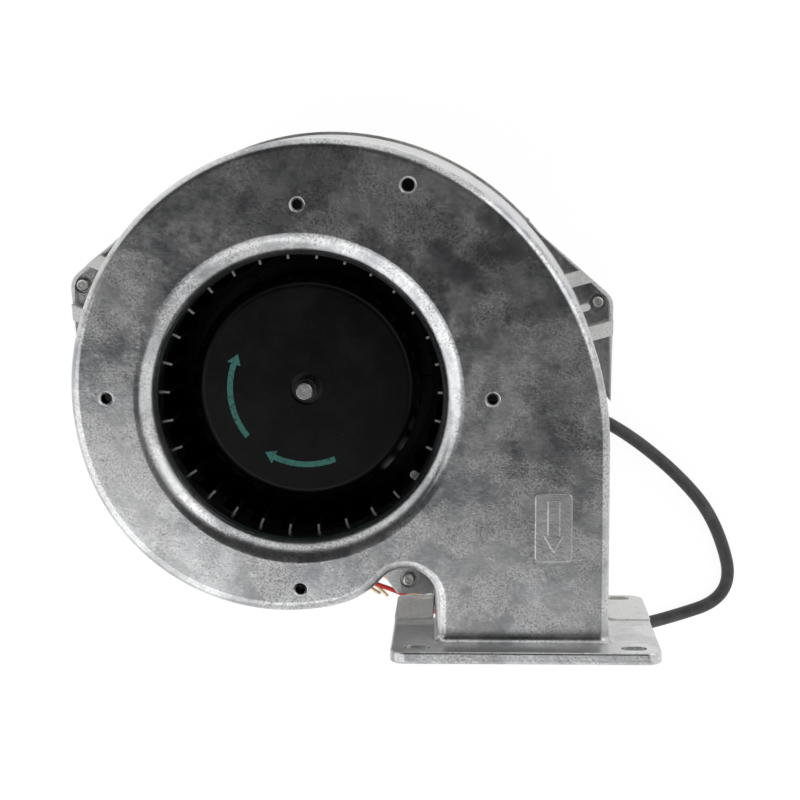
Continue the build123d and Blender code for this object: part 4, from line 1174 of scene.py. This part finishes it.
@dataclass
class ThreadedScrews:
    """Pan head screws with real threads and a hexagon recess, one at each place."""

    name: str
    node: str
    places: tuple[Point, ...]
    head_radius: float = 3.6 * MM
    head_height: float = 2.6 * MM
    recess_radius: float = 1.3 * MM
    recess_depth: float = 1.5 * MM
    core_radius: float = 1.68 * MM
    thread_radius: float = 1.96 * MM
    pitch: float = 0.7 * MM
    tip_drop: float = 0.35 * MM
    tip_gap: ClassVar[float] = 0.02 * MM
    root_share: ClassVar[float] = 0.4
    ridge_share: ClassVar[float] = 0.6
    chamfer_ramp: ClassVar[Pair] = (0.8, 1.0)
    groove_at: ClassVar[float] = 0.6
    groove_ramp: ClassVar[Pair] = (0.15, 0.02)
    dome_from: ClassVar[float] = 0.75
    dome_rate: ClassVar[float] = 2.2
    dome_power: ClassVar[float] = 3.0
    dome_share: ClassVar[float] = 0.09
    recess_share: ClassVar[float] = 0.49
    core_grid: ClassVar[dict[str, int]] = {"Vertices": 40, "Fill Segments": 5}
    head_grid: ClassVar[dict[str, int]] = {"Vertices": 48, "Side Segments": 6, "Fill Segments": 3}
    turn_steps: ClassVar[int] = 28
    crease: ClassVar[float] = 35.0

    def shank(self, sheet: GeometrySheet) -> tuple[Signal, Signal]:
        """Adds the core and the thread round it.

        Args:
            sheet: the tree's sheet.

        Returns:
            The core and the thread.
        """
        length, pitch, core_radius = sheet.size("Length", "Pitch", "Core Radius")
        values = {**self.core_grid, "Radius": core_radius, "Depth": length}
        core = sheet.get("GeometryNodeMeshCylinder", values, "Mesh", fill_type="TRIANGLE_FAN")
        depth = sheet.size("Thread Radius") - core_radius
        middle = core_radius + depth * self.root_share
        run = length - pitch
        coil = {"Resolution": self.turn_steps, "Rotations": run / pitch, "Height": run}
        coil |= {"Start Radius": middle, "End Radius": middle}
        edge = {"Resolution": 4, "Radius": depth * self.ridge_share}
        ridge = sheet.get("GeometryNodeCurvePrimitiveCircle", edge)
        thread = sheet.sweep(sheet.get("GeometryNodeCurveSpiral", coil), ridge)
        return sheet.raised(self.tip(sheet, core), length * 0.5), sheet.raised(thread, pitch * 0.5)

    def tip(self, sheet: GeometrySheet, core: Signal) -> Signal:
        """Gives the thread's end its chamfer and its ring groove.

        Args:
            sheet: the tree's sheet.
            core: the core, about its middle.

        Returns:
            The core with its tip.
        """
        place = sheet.get("GeometryNodeInputPosition")
        share = sheet.off_axis(place) / sheet.size("Core Radius")
        groove = sheet.ramp(abs(share - self.groove_at), *self.groove_ramp)
        sunk = sheet.most(sheet.ramp(share, *self.chamfer_ramp), groove)
        drop = sunk * (sheet.split(place)[2] > 0.0) * sheet.size("Tip Drop")
        return sheet.get("GeometryNodeSetPosition", {0: core, "Offset": sheet.join(z=drop * -1.0)})

    def head(self, sheet: GeometrySheet) -> Signal:
        """Adds the domed head with its recess.

        Args:
            sheet: the tree's sheet.

        Returns:
            The head.
        """
        height, radius, recess_depth = sheet.size("Head Height", "Head Radius", "Recess Depth")
        disc = {**self.head_grid, "Radius": radius, "Depth": height}
        disc = sheet.get("GeometryNodeMeshCylinder", disc, "Mesh")
        place = sheet.get("GeometryNodeInputPosition")
        down = height * -0.5
        low = (down - sheet.split(place)[2]) / height
        below = sheet.most((low + self.dome_from) * self.dome_rate, 0.0)
        narrow = 1.0 - sheet.math("POWER", below, self.dome_power) * self.dome_share
        grown = sheet.vector("MULTIPLY", place, sheet.join(narrow, narrow, 1.0))
        domed = sheet.get("GeometryNodeSetPosition", {0: disc, "Position": grown})
        hexagon = {"Vertices": 6, "Radius": sheet.size("Recess Radius"), "Depth": recess_depth}
        recess = sheet.get("GeometryNodeMeshCylinder", hexagon, "Mesh")
        recess = sheet.raised(recess, recess_depth * self.recess_share - height)
        parts = {"Mesh 1": sheet.raised(domed, down), "Mesh 2": recess}
        return sheet.get("GeometryNodeMeshBoolean", parts, operation="DIFFERENCE")

    def build(self, material: Material) -> Object:
        """Builds the screws for their node.

        Args:
            material: the finish.

        Returns:
            The piece.
        """
        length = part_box(self.node)[1].z - self.places[0][2] - self.tip_gap
        sheet = GeometrySheet(self.name, self, material, length=length)
        screw = sheet.together(*self.shank(sheet), self.head(sheet))
        rows = sheet.get("GeometryNodeInstanceOnPoints", {0: sheet.size("Geometry"), 2: screw})
        mesh = sheet.grown(self.name, rows, self.places, self.crease)
        piece = add_piece(self.name, mesh, material, Body.CASING)
        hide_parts(self.node)
        return piece


@dataclass
class Casing:
    """The two cast halves and the screws that join them."""

    finishes: Finishes
    ear_screws: tuple[Pair, ...] = ((102.95, 28.1), (-83.6, 34.2), (34.5, -74.35))
    ear_screw_seat: float = 14.0 * MM

    def build(self) -> None:
        """Builds and dresses the pieces."""
        look = self.finishes
        paint_nodes({"front_housing": look.face_casting, "rear_housing": look.back_casting})
        places = tuple((x * MM, y * MM, self.ear_screw_seat) for x, y in self.ear_screws)
        ThreadedScrews("ear_screws", "housing_screws", places).build(look.zinc)


@dataclass
class CoilWindings:
    """The copper windings of the stator, laid turn by turn round each tooth."""

    teeth: int = 9
    turns: int = 14
    wire_radius: float = 0.36 * MM
    inner_radius: float = 19.0 * MM
    outer_radius: float = 30.0 * MM
    tooth_width: float = 5.0 * MM
    corner_radius: float = 1.6 * MM
    layers: ClassVar[int] = 2
    wires_wide: ClassVar[float] = 5.6

    def layer(self, sheet: GeometrySheet, number: int) -> Signal:
        """Adds one layer of loops along a tooth.

        Args:
            sheet: the tree's sheet.
            number: the layer's number, 0 on the outside.

        Returns:
            The loops.
        """
        wire_radius, low, high = sheet.size("Wire Radius", "Low", "High")
        inset = wire_radius * (1.0 + 2.0 * number)
        wide = sheet.size("Tooth Width") + wire_radius * self.wires_wide
        values = {"Width": wide - inset * 2.0, "Height": high - low - inset * 2.0}
        loop = sheet.get("GeometryNodeCurvePrimitiveQuadrilateral", values)
        corners = {"Curve": loop, "Radius": sheet.size("Corner Radius"), "Count": 4}
        rounded = sheet.get("GeometryNodeFilletCurve", corners, mode="POLY")
        wire = sheet.get("GeometryNodeCurvePrimitiveCircle", {"Resolution": 8, "Radius": wire_radius})
        tube = sheet.sweep(rounded, wire, caps=False)
        upright = sheet.get("GeometryNodeTransform", {0: tube, "Rotation": (math.pi / 2, 0.0, math.pi / 2)})
        start = sheet.join(sheet.size("Inner Radius") + wire_radius * (1.0 + number))
        end = sheet.join(sheet.size("Outer Radius") - wire_radius)
        line = {"Count": sheet.size("Turns"), "Start Location": start, "Offset": end}
        row = sheet.get("GeometryNodeMeshLine", line, mode="END_POINTS")
        return sheet.get("GeometryNodeInstanceOnPoints", {0: row, 2: upright})

    def build(self, material: Material) -> Object:
        """Builds the windings for their node.

        Args:
            material: the finish.

        Returns:
            The piece.
        """
        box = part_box("stator_coils")
        sheet = GeometrySheet("coil_windings", self, material, low=box[0].z, high=box[1].z)
        tooth = sheet.together(*(self.layer(sheet, number) for number in range(self.layers)))
        low, high, teeth = sheet.size("Low", "High", "Teeth")
        coils = sheet.around(tooth, teeth, (low + high) * 0.5)
        mesh = sheet.grown("stator_windings", coils, ((0.0, 0.0, 0.0),))
        piece = add_piece("stator_windings", mesh, material, Body.CASING)
        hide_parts("stator_coils")
        return piece


@dataclass
class Motor:
    """The motor flange with its bearings, stator, electronics and rear cover."""

    finishes: Finishes
    screw_circle: float = 41.0 * MM
    screw_seat: float = 10.0 * MM
    screw_turns: tuple[float, ...] = (60.0, 180.0, 300.0)

    def build(self) -> None:
        """Builds and dresses the pieces."""
        look = self.finishes
        turns = [math.radians(turn) for turn in self.screw_turns]
        circle = [(self.screw_circle * math.cos(turn), self.screw_circle * math.sin(turn)) for turn in turns]
        places = tuple((x, y, self.screw_seat) for x, y in circle)
        ThreadedScrews("flange_screws", "motor_screws", places).build(look.zinc)
        CoilWindings().build(look.copper)
        looks = {
            "motor_flange": look.motor_casting,
            "rear_cover": look.cover,
            "cover_screws": look.zinc,
            "preload_spring": look.spring,
            "stator_laminations": look.stack,
            "stator_insulator_front": look.nylon,
            "stator_insulator_rear": look.nylon,
            "circuit_board": look.board,
            "capacitor": look.cover,
            "power_transistors": look.chip,
            "hall_sensors": look.chip,
        }
        for end in ("front_bearing_", "rear_bearing_"):
            looks |= {end + part: look.ground for part in ("outer_ring", "inner_ring", "balls")}
            looks[end + "cage"] = look.nylon
        paint_nodes(looks)


def solid(name: str, shell: bmesh.types.BMesh) -> Mesh:
    """Turns a closed shell into a mesh and frees it."""
    bmesh.ops.recalc_face_normals(shell, faces=shell.faces)
    mesh = bpy.data.meshes.new(name)
    shell.to_mesh(mesh)
    shell.free()
    return mesh


@dataclass(frozen=True)
class RotationArrow:
    """One printed arrow, bent round the fan axis: where it runs and how wide it is."""

    name: str
    turn_from: float
    turn_to: float
    radius: float = 26.6 * MM
    width: float = 2.0 * MM
    head_width: float = 5.0 * MM
    head_turn: float = 8.0
    steps: int = 24

    def outline(self) -> list[Pair]:
        """Works out the outline's corners.

        Returns:
            For each corner its turn in degrees and its distance from the axis.
        """
        sweep = self.turn_to - self.turn_from
        turns = [self.turn_from + sweep * step / self.steps for step in range(self.steps + 1)]
        outer = [(turn, self.radius + self.width / 2) for turn in turns]
        inner = [(turn, self.radius - self.width / 2) for turn in turns]
        tip = (self.turn_to - self.head_turn, self.radius)
        sides = [(self.turn_to, self.radius + way * self.head_width / 2) for way in (1, -1)]
        return [*outer, sides[0], tip, sides[1], *inner[::-1]]


@dataclass
class RotorMarks:
    """The printed rotation arrows on the rotor's face."""

    lift: float = 0.01 * MM
    thickness: float = 0.05 * MM
    arrows: tuple[RotationArrow, ...] = (
        RotationArrow("rotation_arrow_long", 219.0, 161.0),
        RotationArrow("rotation_arrow_short", 292.0, 245.0),
    )

    def build(self, material: Material) -> None:
        """Builds the arrows as thin solids.

        Args:
            material: the finish.
        """
        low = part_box("rotor_cup")[1].z + self.lift
        for arrow in self.arrows:
            shell = bmesh.new()
            corners = []
            for turn, reach in arrow.outline():
                angle = math.radians(turn)
                corners.append(shell.verts.new((reach * math.cos(angle), reach * math.sin(angle), low)))
            grown = bmesh.ops.extrude_face_region(shell, geom=[shell.faces.new(corners)])
            raised = [item for item in grown["geom"] if isinstance(item, bmesh.types.BMVert)]
            bmesh.ops.translate(shell, verts=raised, vec=(0.0, 0.0, self.thickness))
            add_piece(arrow.name, solid(arrow.name, shell), material, Body.ROTOR)


@dataclass
class Rotor:
    """The external rotor: shaft, bush, cup, magnets and the print on its face."""

    finishes: Finishes

    def build(self) -> None:
        """Builds and dresses the pieces."""
        look = self.finishes
        paint_nodes({"rotor_cup": look.rotor_paint, "rotor_bush": look.bush_paint, "shaft": look.ground})
        paint_nodes({"shaft_clip": look.spring, "rotor_magnets": look.magnet})
        RotorMarks().build(look.ink)


@dataclass
class BladeRow:
    """The forward curved blades, each a bowed strip between the disc and the ring."""

    count: int = 30
    inner_radius: float = 46.0 * MM
    outer_radius: float = 54.0 * MM
    lean: float = math.radians(5.5)
    bow: float = 1.6 * MM
    thickness: float = 0.8 * MM
    crease: ClassVar[float] = 35.0

    def blade(self, sheet: GeometrySheet) -> Signal:
        """Adds one bowed strip.

        Args:
            sheet: the tree's sheet.

        Returns:
            The blade.
        """
        thickness, low, high = sheet.size("Thickness", "Low", "High")
        start, straight = sheet.join(sheet.size("Inner Radius")), sheet.join(sheet.size("Outer Radius"))
        leant = {"Vector": straight, "Angle": sheet.size("Lean") * -1.0}
        end = sheet.get("ShaderNodeVectorRotate", leant, rotation_type="Z_AXIS")
        along = {0: sheet.vector("SUBTRACT", end, start)}
        unit = sheet.get("ShaderNodeVectorMath", along, operation="NORMALIZE")
        side = sheet.vector("CROSS_PRODUCT", (0.0, 0.0, 1.0), unit)
        half_way = sheet.scaled(sheet.vector("ADD", start, end), 0.5)
        middle = sheet.vector("ADD", half_way, sheet.scaled(side, sheet.size("Bow")))
        arc = {"Resolution": 10, "Start": start, "Middle": middle, "End": end}
        path = sheet.get("GeometryNodeCurveArc", arc, mode="POINTS")
        path = sheet.get("GeometryNodeSetCurveNormal", {0: path}, mode="Z_UP")
        outline = {"Width": thickness, "Height": high - low}
        return sheet.sweep(path, sheet.get("GeometryNodeCurvePrimitiveQuadrilateral", outline))

    def build(self, material: Material) -> Object:
        """Builds the blades for their node.

        Args:
            material: the finish.

        Returns:
            The piece.
        """
        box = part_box("impeller_blades")
        sheet = GeometrySheet("blade_row", self, material, low=box[0].z, high=box[1].z)
        low, high, count = sheet.size("Low", "High", "Count")
        row = sheet.around(self.blade(sheet), count, (high + low) * 0.5)
        mesh = sheet.grown("blade_row", row, ((0.0, 0.0, 0.0),), self.crease)
        piece = add_piece("blade_row", mesh, material, Body.ROTOR)
        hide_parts("impeller_blades")
        return piece


@dataclass
class Impeller:
    """The impeller: disc, blades, front ring, rivets and the balance clip."""

    finishes: Finishes

    def build(self) -> None:
        """Builds and dresses the pieces."""
        look = self.finishes
        BladeRow().build(look.blade_steel)
        paint_nodes({"impeller_disc": look.blade_coat, "impeller_ring": look.blade_coat})
        paint_nodes({"impeller_rivets": look.rotor_paint, "balance_clip": look.spring})


@dataclass
class RoundCord:
    """One round cord along a given route."""

    name: str
    node: str
    route: tuple[Point, ...]
    length: float
    radius: float

    def build(self, material: Material, slot: Slot) -> Object:
        """Builds the cord's curve for its node.

        Args:
            material: the finish.
            slot: the record's slot; not used.

        Returns:
            The piece.
        """
        curve = bpy.data.curves.new(self.name, "CURVE")
        curve.dimensions = "3D"
        curve.bevel_depth = self.radius * MM
        curve.bevel_resolution = 5
        curve.resolution_u = 16
        curve.use_fill_caps = True
        spline = curve.splines.new("NURBS")
        spline.points.add(len(self.route) - 1)
        for point, place in zip(spline.points, self.route):
            point.co = (place[0] * MM, place[1] * MM, place[2] * MM, 1.0)
        spline.order_u = 3
        spline.use_endpoint_u = True
        piece = add_piece(self.name, curve, material, Body.CASING)
        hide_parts(self.node)
        return piece

    def start(self) -> Point:
        """Returns where the cord leaves, in metres."""
        return tuple(value * MM for value in self.route[0])


@dataclass(frozen=True)
class LeadPlan:
    """How a lead lies, in millimetres: its side and rise at the cable's end, its levels and its turns."""

    lead: Lead
    side: int
    rise: int
    length: float
    levels: Pair
    turns: tuple[Pair, ...]


@dataclass
class Cable:
    """The cable, its four leads with their sleeves, and the grommet where it leaves the motor."""

    finishes: Finishes
    cable_radius: float = 2.4
    cable_length: float = 249.4 * MM
    cable_route: tuple[Point, ...] = (
        (52.0, -4.0, 7.0), (64.0, -4.0, 7.0), (86.0, -9.5, 2.45), (110.0, -18.5, 2.45),
        (133.5, -36.5, 2.45), (149.3, -55.2, 2.45), (157.0, -84.2, 2.45), (128.5, -94.2, 2.45),
        (98.0, -101.0, 2.45), (68.0, -100.0, 2.45), (50.0, -92.5, 2.45),
    )
    lead_radius: float = 0.9
    lead_offset: float = 0.95
    lead_step: float = 7.0
    red_turns: tuple[Pair, ...] = ((36.5, -86.4), (28.6, -82.6), (19.5, -79.7), (12.0, -74.0))
    yellow_turns: tuple[Pair, ...] = ((37.0, -83.6), (30.0, -80.8), (23.4, -75.4), (16.5, -67.5))
    blue_turns: tuple[Pair, ...] = (
        (36.0, -81.0), (25.0, -69.0), (13.0, -51.0), (-9.0, -50.0),
        (-10.5, -72.0), (7.5, -74.0), (18.4, -81.4),
    )
    white_turns: tuple[Pair, ...] = (
        (34.0, -84.0), (23.5, -73.8), (12.5, -62.5), (3.4, -54.9),
        (-4.6, -61.6), (0.4, -70.6), (13.6, -73.1), (22.0, -81.5),
    )
    ferrule_radius: float = 0.7
    ferrule_length: float = 5.6
    ferrule_rings: int = 12
    ferrule_sides: int = 20
    ferrule_pinch: float = 0.14
    ferrule_crimps: int = 3
    ferrule_crease: float = 40.0

    def plans(self) -> tuple[LeadPlan, ...]:
        """Returns how each lead lies: blue and white on the table, red above them and yellow over red."""
        return (
            LeadPlan(Lead.RED, 1, 1, 42.5 * MM, (3.4, 3.4), self.red_turns),
            LeadPlan(Lead.YELLOW, -1, 1, 42.1 * MM, (3.85, 4.3), self.yellow_turns),
            LeadPlan(Lead.BLUE, -1, -1, 122.3 * MM, (1.0, 1.0), self.blue_turns),
            LeadPlan(Lead.WHITE, 1, -1, 102.6 * MM, (1.0, 1.0), self.white_turns),
        )

    def lead_route(self, plan: LeadPlan) -> tuple[Point, ...]:
        """Works out a lead's first two points at the cable's end and adds its turns.

        Args:
            plan: how the lead lies.

        Returns:
            The route in millimetres.
        """
        before, end = self.cable_route[-2:]
        heading = Vector((end[0] - before[0], end[1] - before[1], 0.0)).normalized()
        across = Vector((-heading.y, heading.x, 0.0)) * plan.side * self.lead_offset
        start = Vector(end) + across + Vector((0.0, 0.0, plan.rise * self.lead_offset))
        first, *others = plan.turns
        rest = [(*first, plan.levels[0]), *((*turn, plan.levels[1]) for turn in others)]
        return (tuple(start), tuple(start + heading * self.lead_step), *rest)

    def ferrule(self, name: str, route: tuple[Point, ...]) -> Object:
        """Builds the crimped sleeve on a lead's end.

        Args:
            name: the piece's name.
            route: the lead's route in millimetres.

        Returns:
            The piece.
        """
        before, end = Vector(route[-2]), Vector(route[-1])
        heading = (end - before).normalized()
        turned = heading.to_track_quat("Z", "Y").to_matrix().to_4x4()
        shell = bmesh.new()
        loops = []
        for step in range(self.ferrule_rings + 1):
            share = step / self.ferrule_rings
            wave = 0.5 - 0.5 * math.cos(share * self.ferrule_crimps * math.tau)
            reach = self.ferrule_radius * MM * (1.0 - self.ferrule_pinch * wave)
            spot = Matrix.Translation((end + heading * self.ferrule_length * share) * MM) @ turned
            circle = {"cap_ends": False, "radius": reach, "segments": self.ferrule_sides, "matrix": spot}
            loops.append(bmesh.ops.create_circle(shell, **circle)["verts"])
        for near, far in zip(loops, loops[1:]):
            for n, vert in enumerate(near):
                ahead = (n + 1) % len(near)
                shell.faces.new((vert, near[ahead], far[ahead], far[n]))
        shell.faces.new(loops[0][::-1])
        shell.faces.new(loops[-1])
        mesh = solid(name, shell)
        mesh.shade_smooth()
        mesh.set_sharp_from_angle(angle=math.radians(self.ferrule_crease))
        piece = add_piece(name, mesh, self.finishes.brass, Body.CASING)
        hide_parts("wire_ferrules")
        return piece

    def build(self) -> None:
        look = self.finishes
        paint_nodes({"cable_grommet": look.rubber})
        sheath = RoundCord("cable", "cable_sheath", self.cable_route, self.cable_length, self.cable_radius)
        piece = sheath.build(look.sheath, Slot.SHEATH)
        sheath.start()
        for plan in self.plans():
            colour, route = plan.lead.value, self.lead_route(plan)
            cord = RoundCord(colour + "_lead", "lead_" + colour, route, plan.length, self.lead_radius)
            wire = cord.build(look.leads[plan.lead], Slot["LEAD_" + plan.lead.name])
            sleeve = [self.ferrule(colour + "_ferrule", route)]
            cord.start()


@dataclass(frozen=True)
class Lamp:
    """A square soft lamp: where it stands, the length of its sides and its power in watts."""

    name: str
    place: Point
    size: float
    power: float


@dataclass
class Studio:
    """The floor, the lamps, the world and the camera."""

    floor_half: float = 12.0
    floor_level: float = -0.05 * MM
    floor_tone: Colour = (0.86, 0.86, 0.86)
    floor_light: float = 1.06
    floor_glow: float = 0.88
    camera_place: Point = (0.056231, 0.079343, 0.726126)
    camera_turn: Point = (-7.05986, 1.99297, -0.13639)
    lens: float = 87.75
    sensor: float = 36.0
    clip: Pair = (0.01, 100.0)
    tent_ramp: Pair = (0.76, 0.40)
    soft_side: Point = (-0.35, -0.94, 0.0)
    soft_ramp: Pair = (0.145, 0.26)
    soft_level: float = 0.85
    soft_boost: float = 0.35
    boost_ramp: Pair = (0.75, 0.93)
    right_ramp: Pair = (0.24, 0.48)
    tent_levels: Pair = (0.05, 0.90)
    white: tuple[float, ...] = (1.0, 1.0, 1.0, 1.0)
    lamps: tuple[Lamp, ...] = (
        Lamp("key_lamp", (-0.85, -0.70, 0.95), 1.8, 6.5),
        Lamp("fill_lamp", (0.9, 0.6, 0.8), 0.9, 2.0),
    )
    lamp_aim: Point = (0.0, 0.0, 0.04)

    def floor(self) -> None:
        """Builds the pale floor, which keeps a soft shadow."""
        half = self.floor_half
        mesh = bpy.data.meshes.new("floor")
        corners = [(-half, -half), (half, -half), (half, half), (-half, half)]
        mesh.from_pydata([(x, y, self.floor_level) for x, y in corners], [], [(0, 1, 2, 3)])
        material = bpy.data.materials.new("floor_white")
        sheet = empty_sheet(material)
        lit = sheet.get("ShaderNodeBsdfDiffuse", {"Color": (*self.floor_tone, 1.0)})
        glow = sheet.get("ShaderNodeEmission", {"Color": self.white, "Strength": self.floor_light})
        rays = sheet.add("ShaderNodeLightPath").outputs
        kinds = ("Is Camera Ray", "Is Glossy Ray", "Is Transmission Ray")
        camera, glossy, through = (Signal(sheet, rays[kind]) for kind in kinds)
        seen = sheet.math("ADD", camera + glossy, through, clamp=True)
        skin = sheet.get("ShaderNodeMixShader", {0: seen * self.floor_glow, 1: lit, 2: glow})
        sheet.add("ShaderNodeOutputMaterial", {"Surface": skin})
        mesh.materials.append(material)
        add_object("floor", mesh)

    def world(self) -> None:
        """Builds the world: bright low down, over the lower left and on the right, dim overhead."""
        world = bpy.data.worlds.new("light_tent")
        bpy.context.scene.world = world
        sheet = empty_sheet(world)
        direction = sheet.get("ShaderNodeTexCoord", out="Generated")
        right, _, height = sheet.split(direction)
        soft = sheet.ramp(sheet.measure("DOT_PRODUCT", direction, self.soft_side), *self.soft_ramp)
        soft_share = soft * (sheet.ramp(height, *self.boost_ramp) * self.soft_boost + self.soft_level)
        share = sheet.most(sheet.ramp(height, *self.tent_ramp), soft_share)
        share = sheet.most(share, sheet.ramp(right, *self.right_ramp))
        level = sheet.span(share, (0.0, 1.0), self.tent_levels, clamp=False)
        level = sheet.most(level, sheet.get("ShaderNodeLightPath", out="Is Camera Ray"))
        back = sheet.get("ShaderNodeBackground", {"Color": self.white, "Strength": level})
        sheet.add("ShaderNodeOutputWorld", {"Surface": back})

    def light(self, plan: Lamp) -> None:
        """Adds a lamp aimed at the fan.

        Args:
            plan: what the lamp is like.
        """
        light = bpy.data.lights.new(plan.name, "AREA")
        light.shape = "SQUARE"
        light.size = plan.size
        light.energy = plan.power
        lamp = add_object(plan.name, light)
        lamp.location = plan.place
        aim = Vector(self.lamp_aim) - Vector(plan.place)
        lamp.rotation_euler = aim.to_track_quat("-Z", "Y").to_euler()

    def camera(self) -> None:
        """Sets the camera where the photograph was taken from."""
        data = bpy.data.cameras.new("camera")
        data.lens = self.lens
        data.sensor_width = self.sensor
        data.clip_start, data.clip_end = self.clip
        camera = add_object("camera", data)
        camera.location = self.camera_place
        camera.rotation_euler = Euler([math.radians(turn) for turn in self.camera_turn], "XYZ")
        bpy.context.scene.camera = camera

    def build(self) -> None:
        """Builds the studio."""
        bpy.context.scene.view_settings.view_transform = "Standard"
        self.floor()
        self.world()
        self.camera()
        for plan in self.lamps:
            self.light(plan)
        log.info("studio: floor, world, camera and lamps")


def main() -> None:
    """Builds the fan's sub-assemblies in order."""
    logging.basicConfig(level=logging.INFO, format="%(message)s")
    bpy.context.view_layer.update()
    finishes = Finishes()
    for assembly in (Studio(), *(kind(finishes) for kind in (Casing, Motor, Rotor, Impeller, Cable))):
        assembly.build()
        log.info("%s done", type(assembly).__name__)


if __name__ == "__main__":
    main()
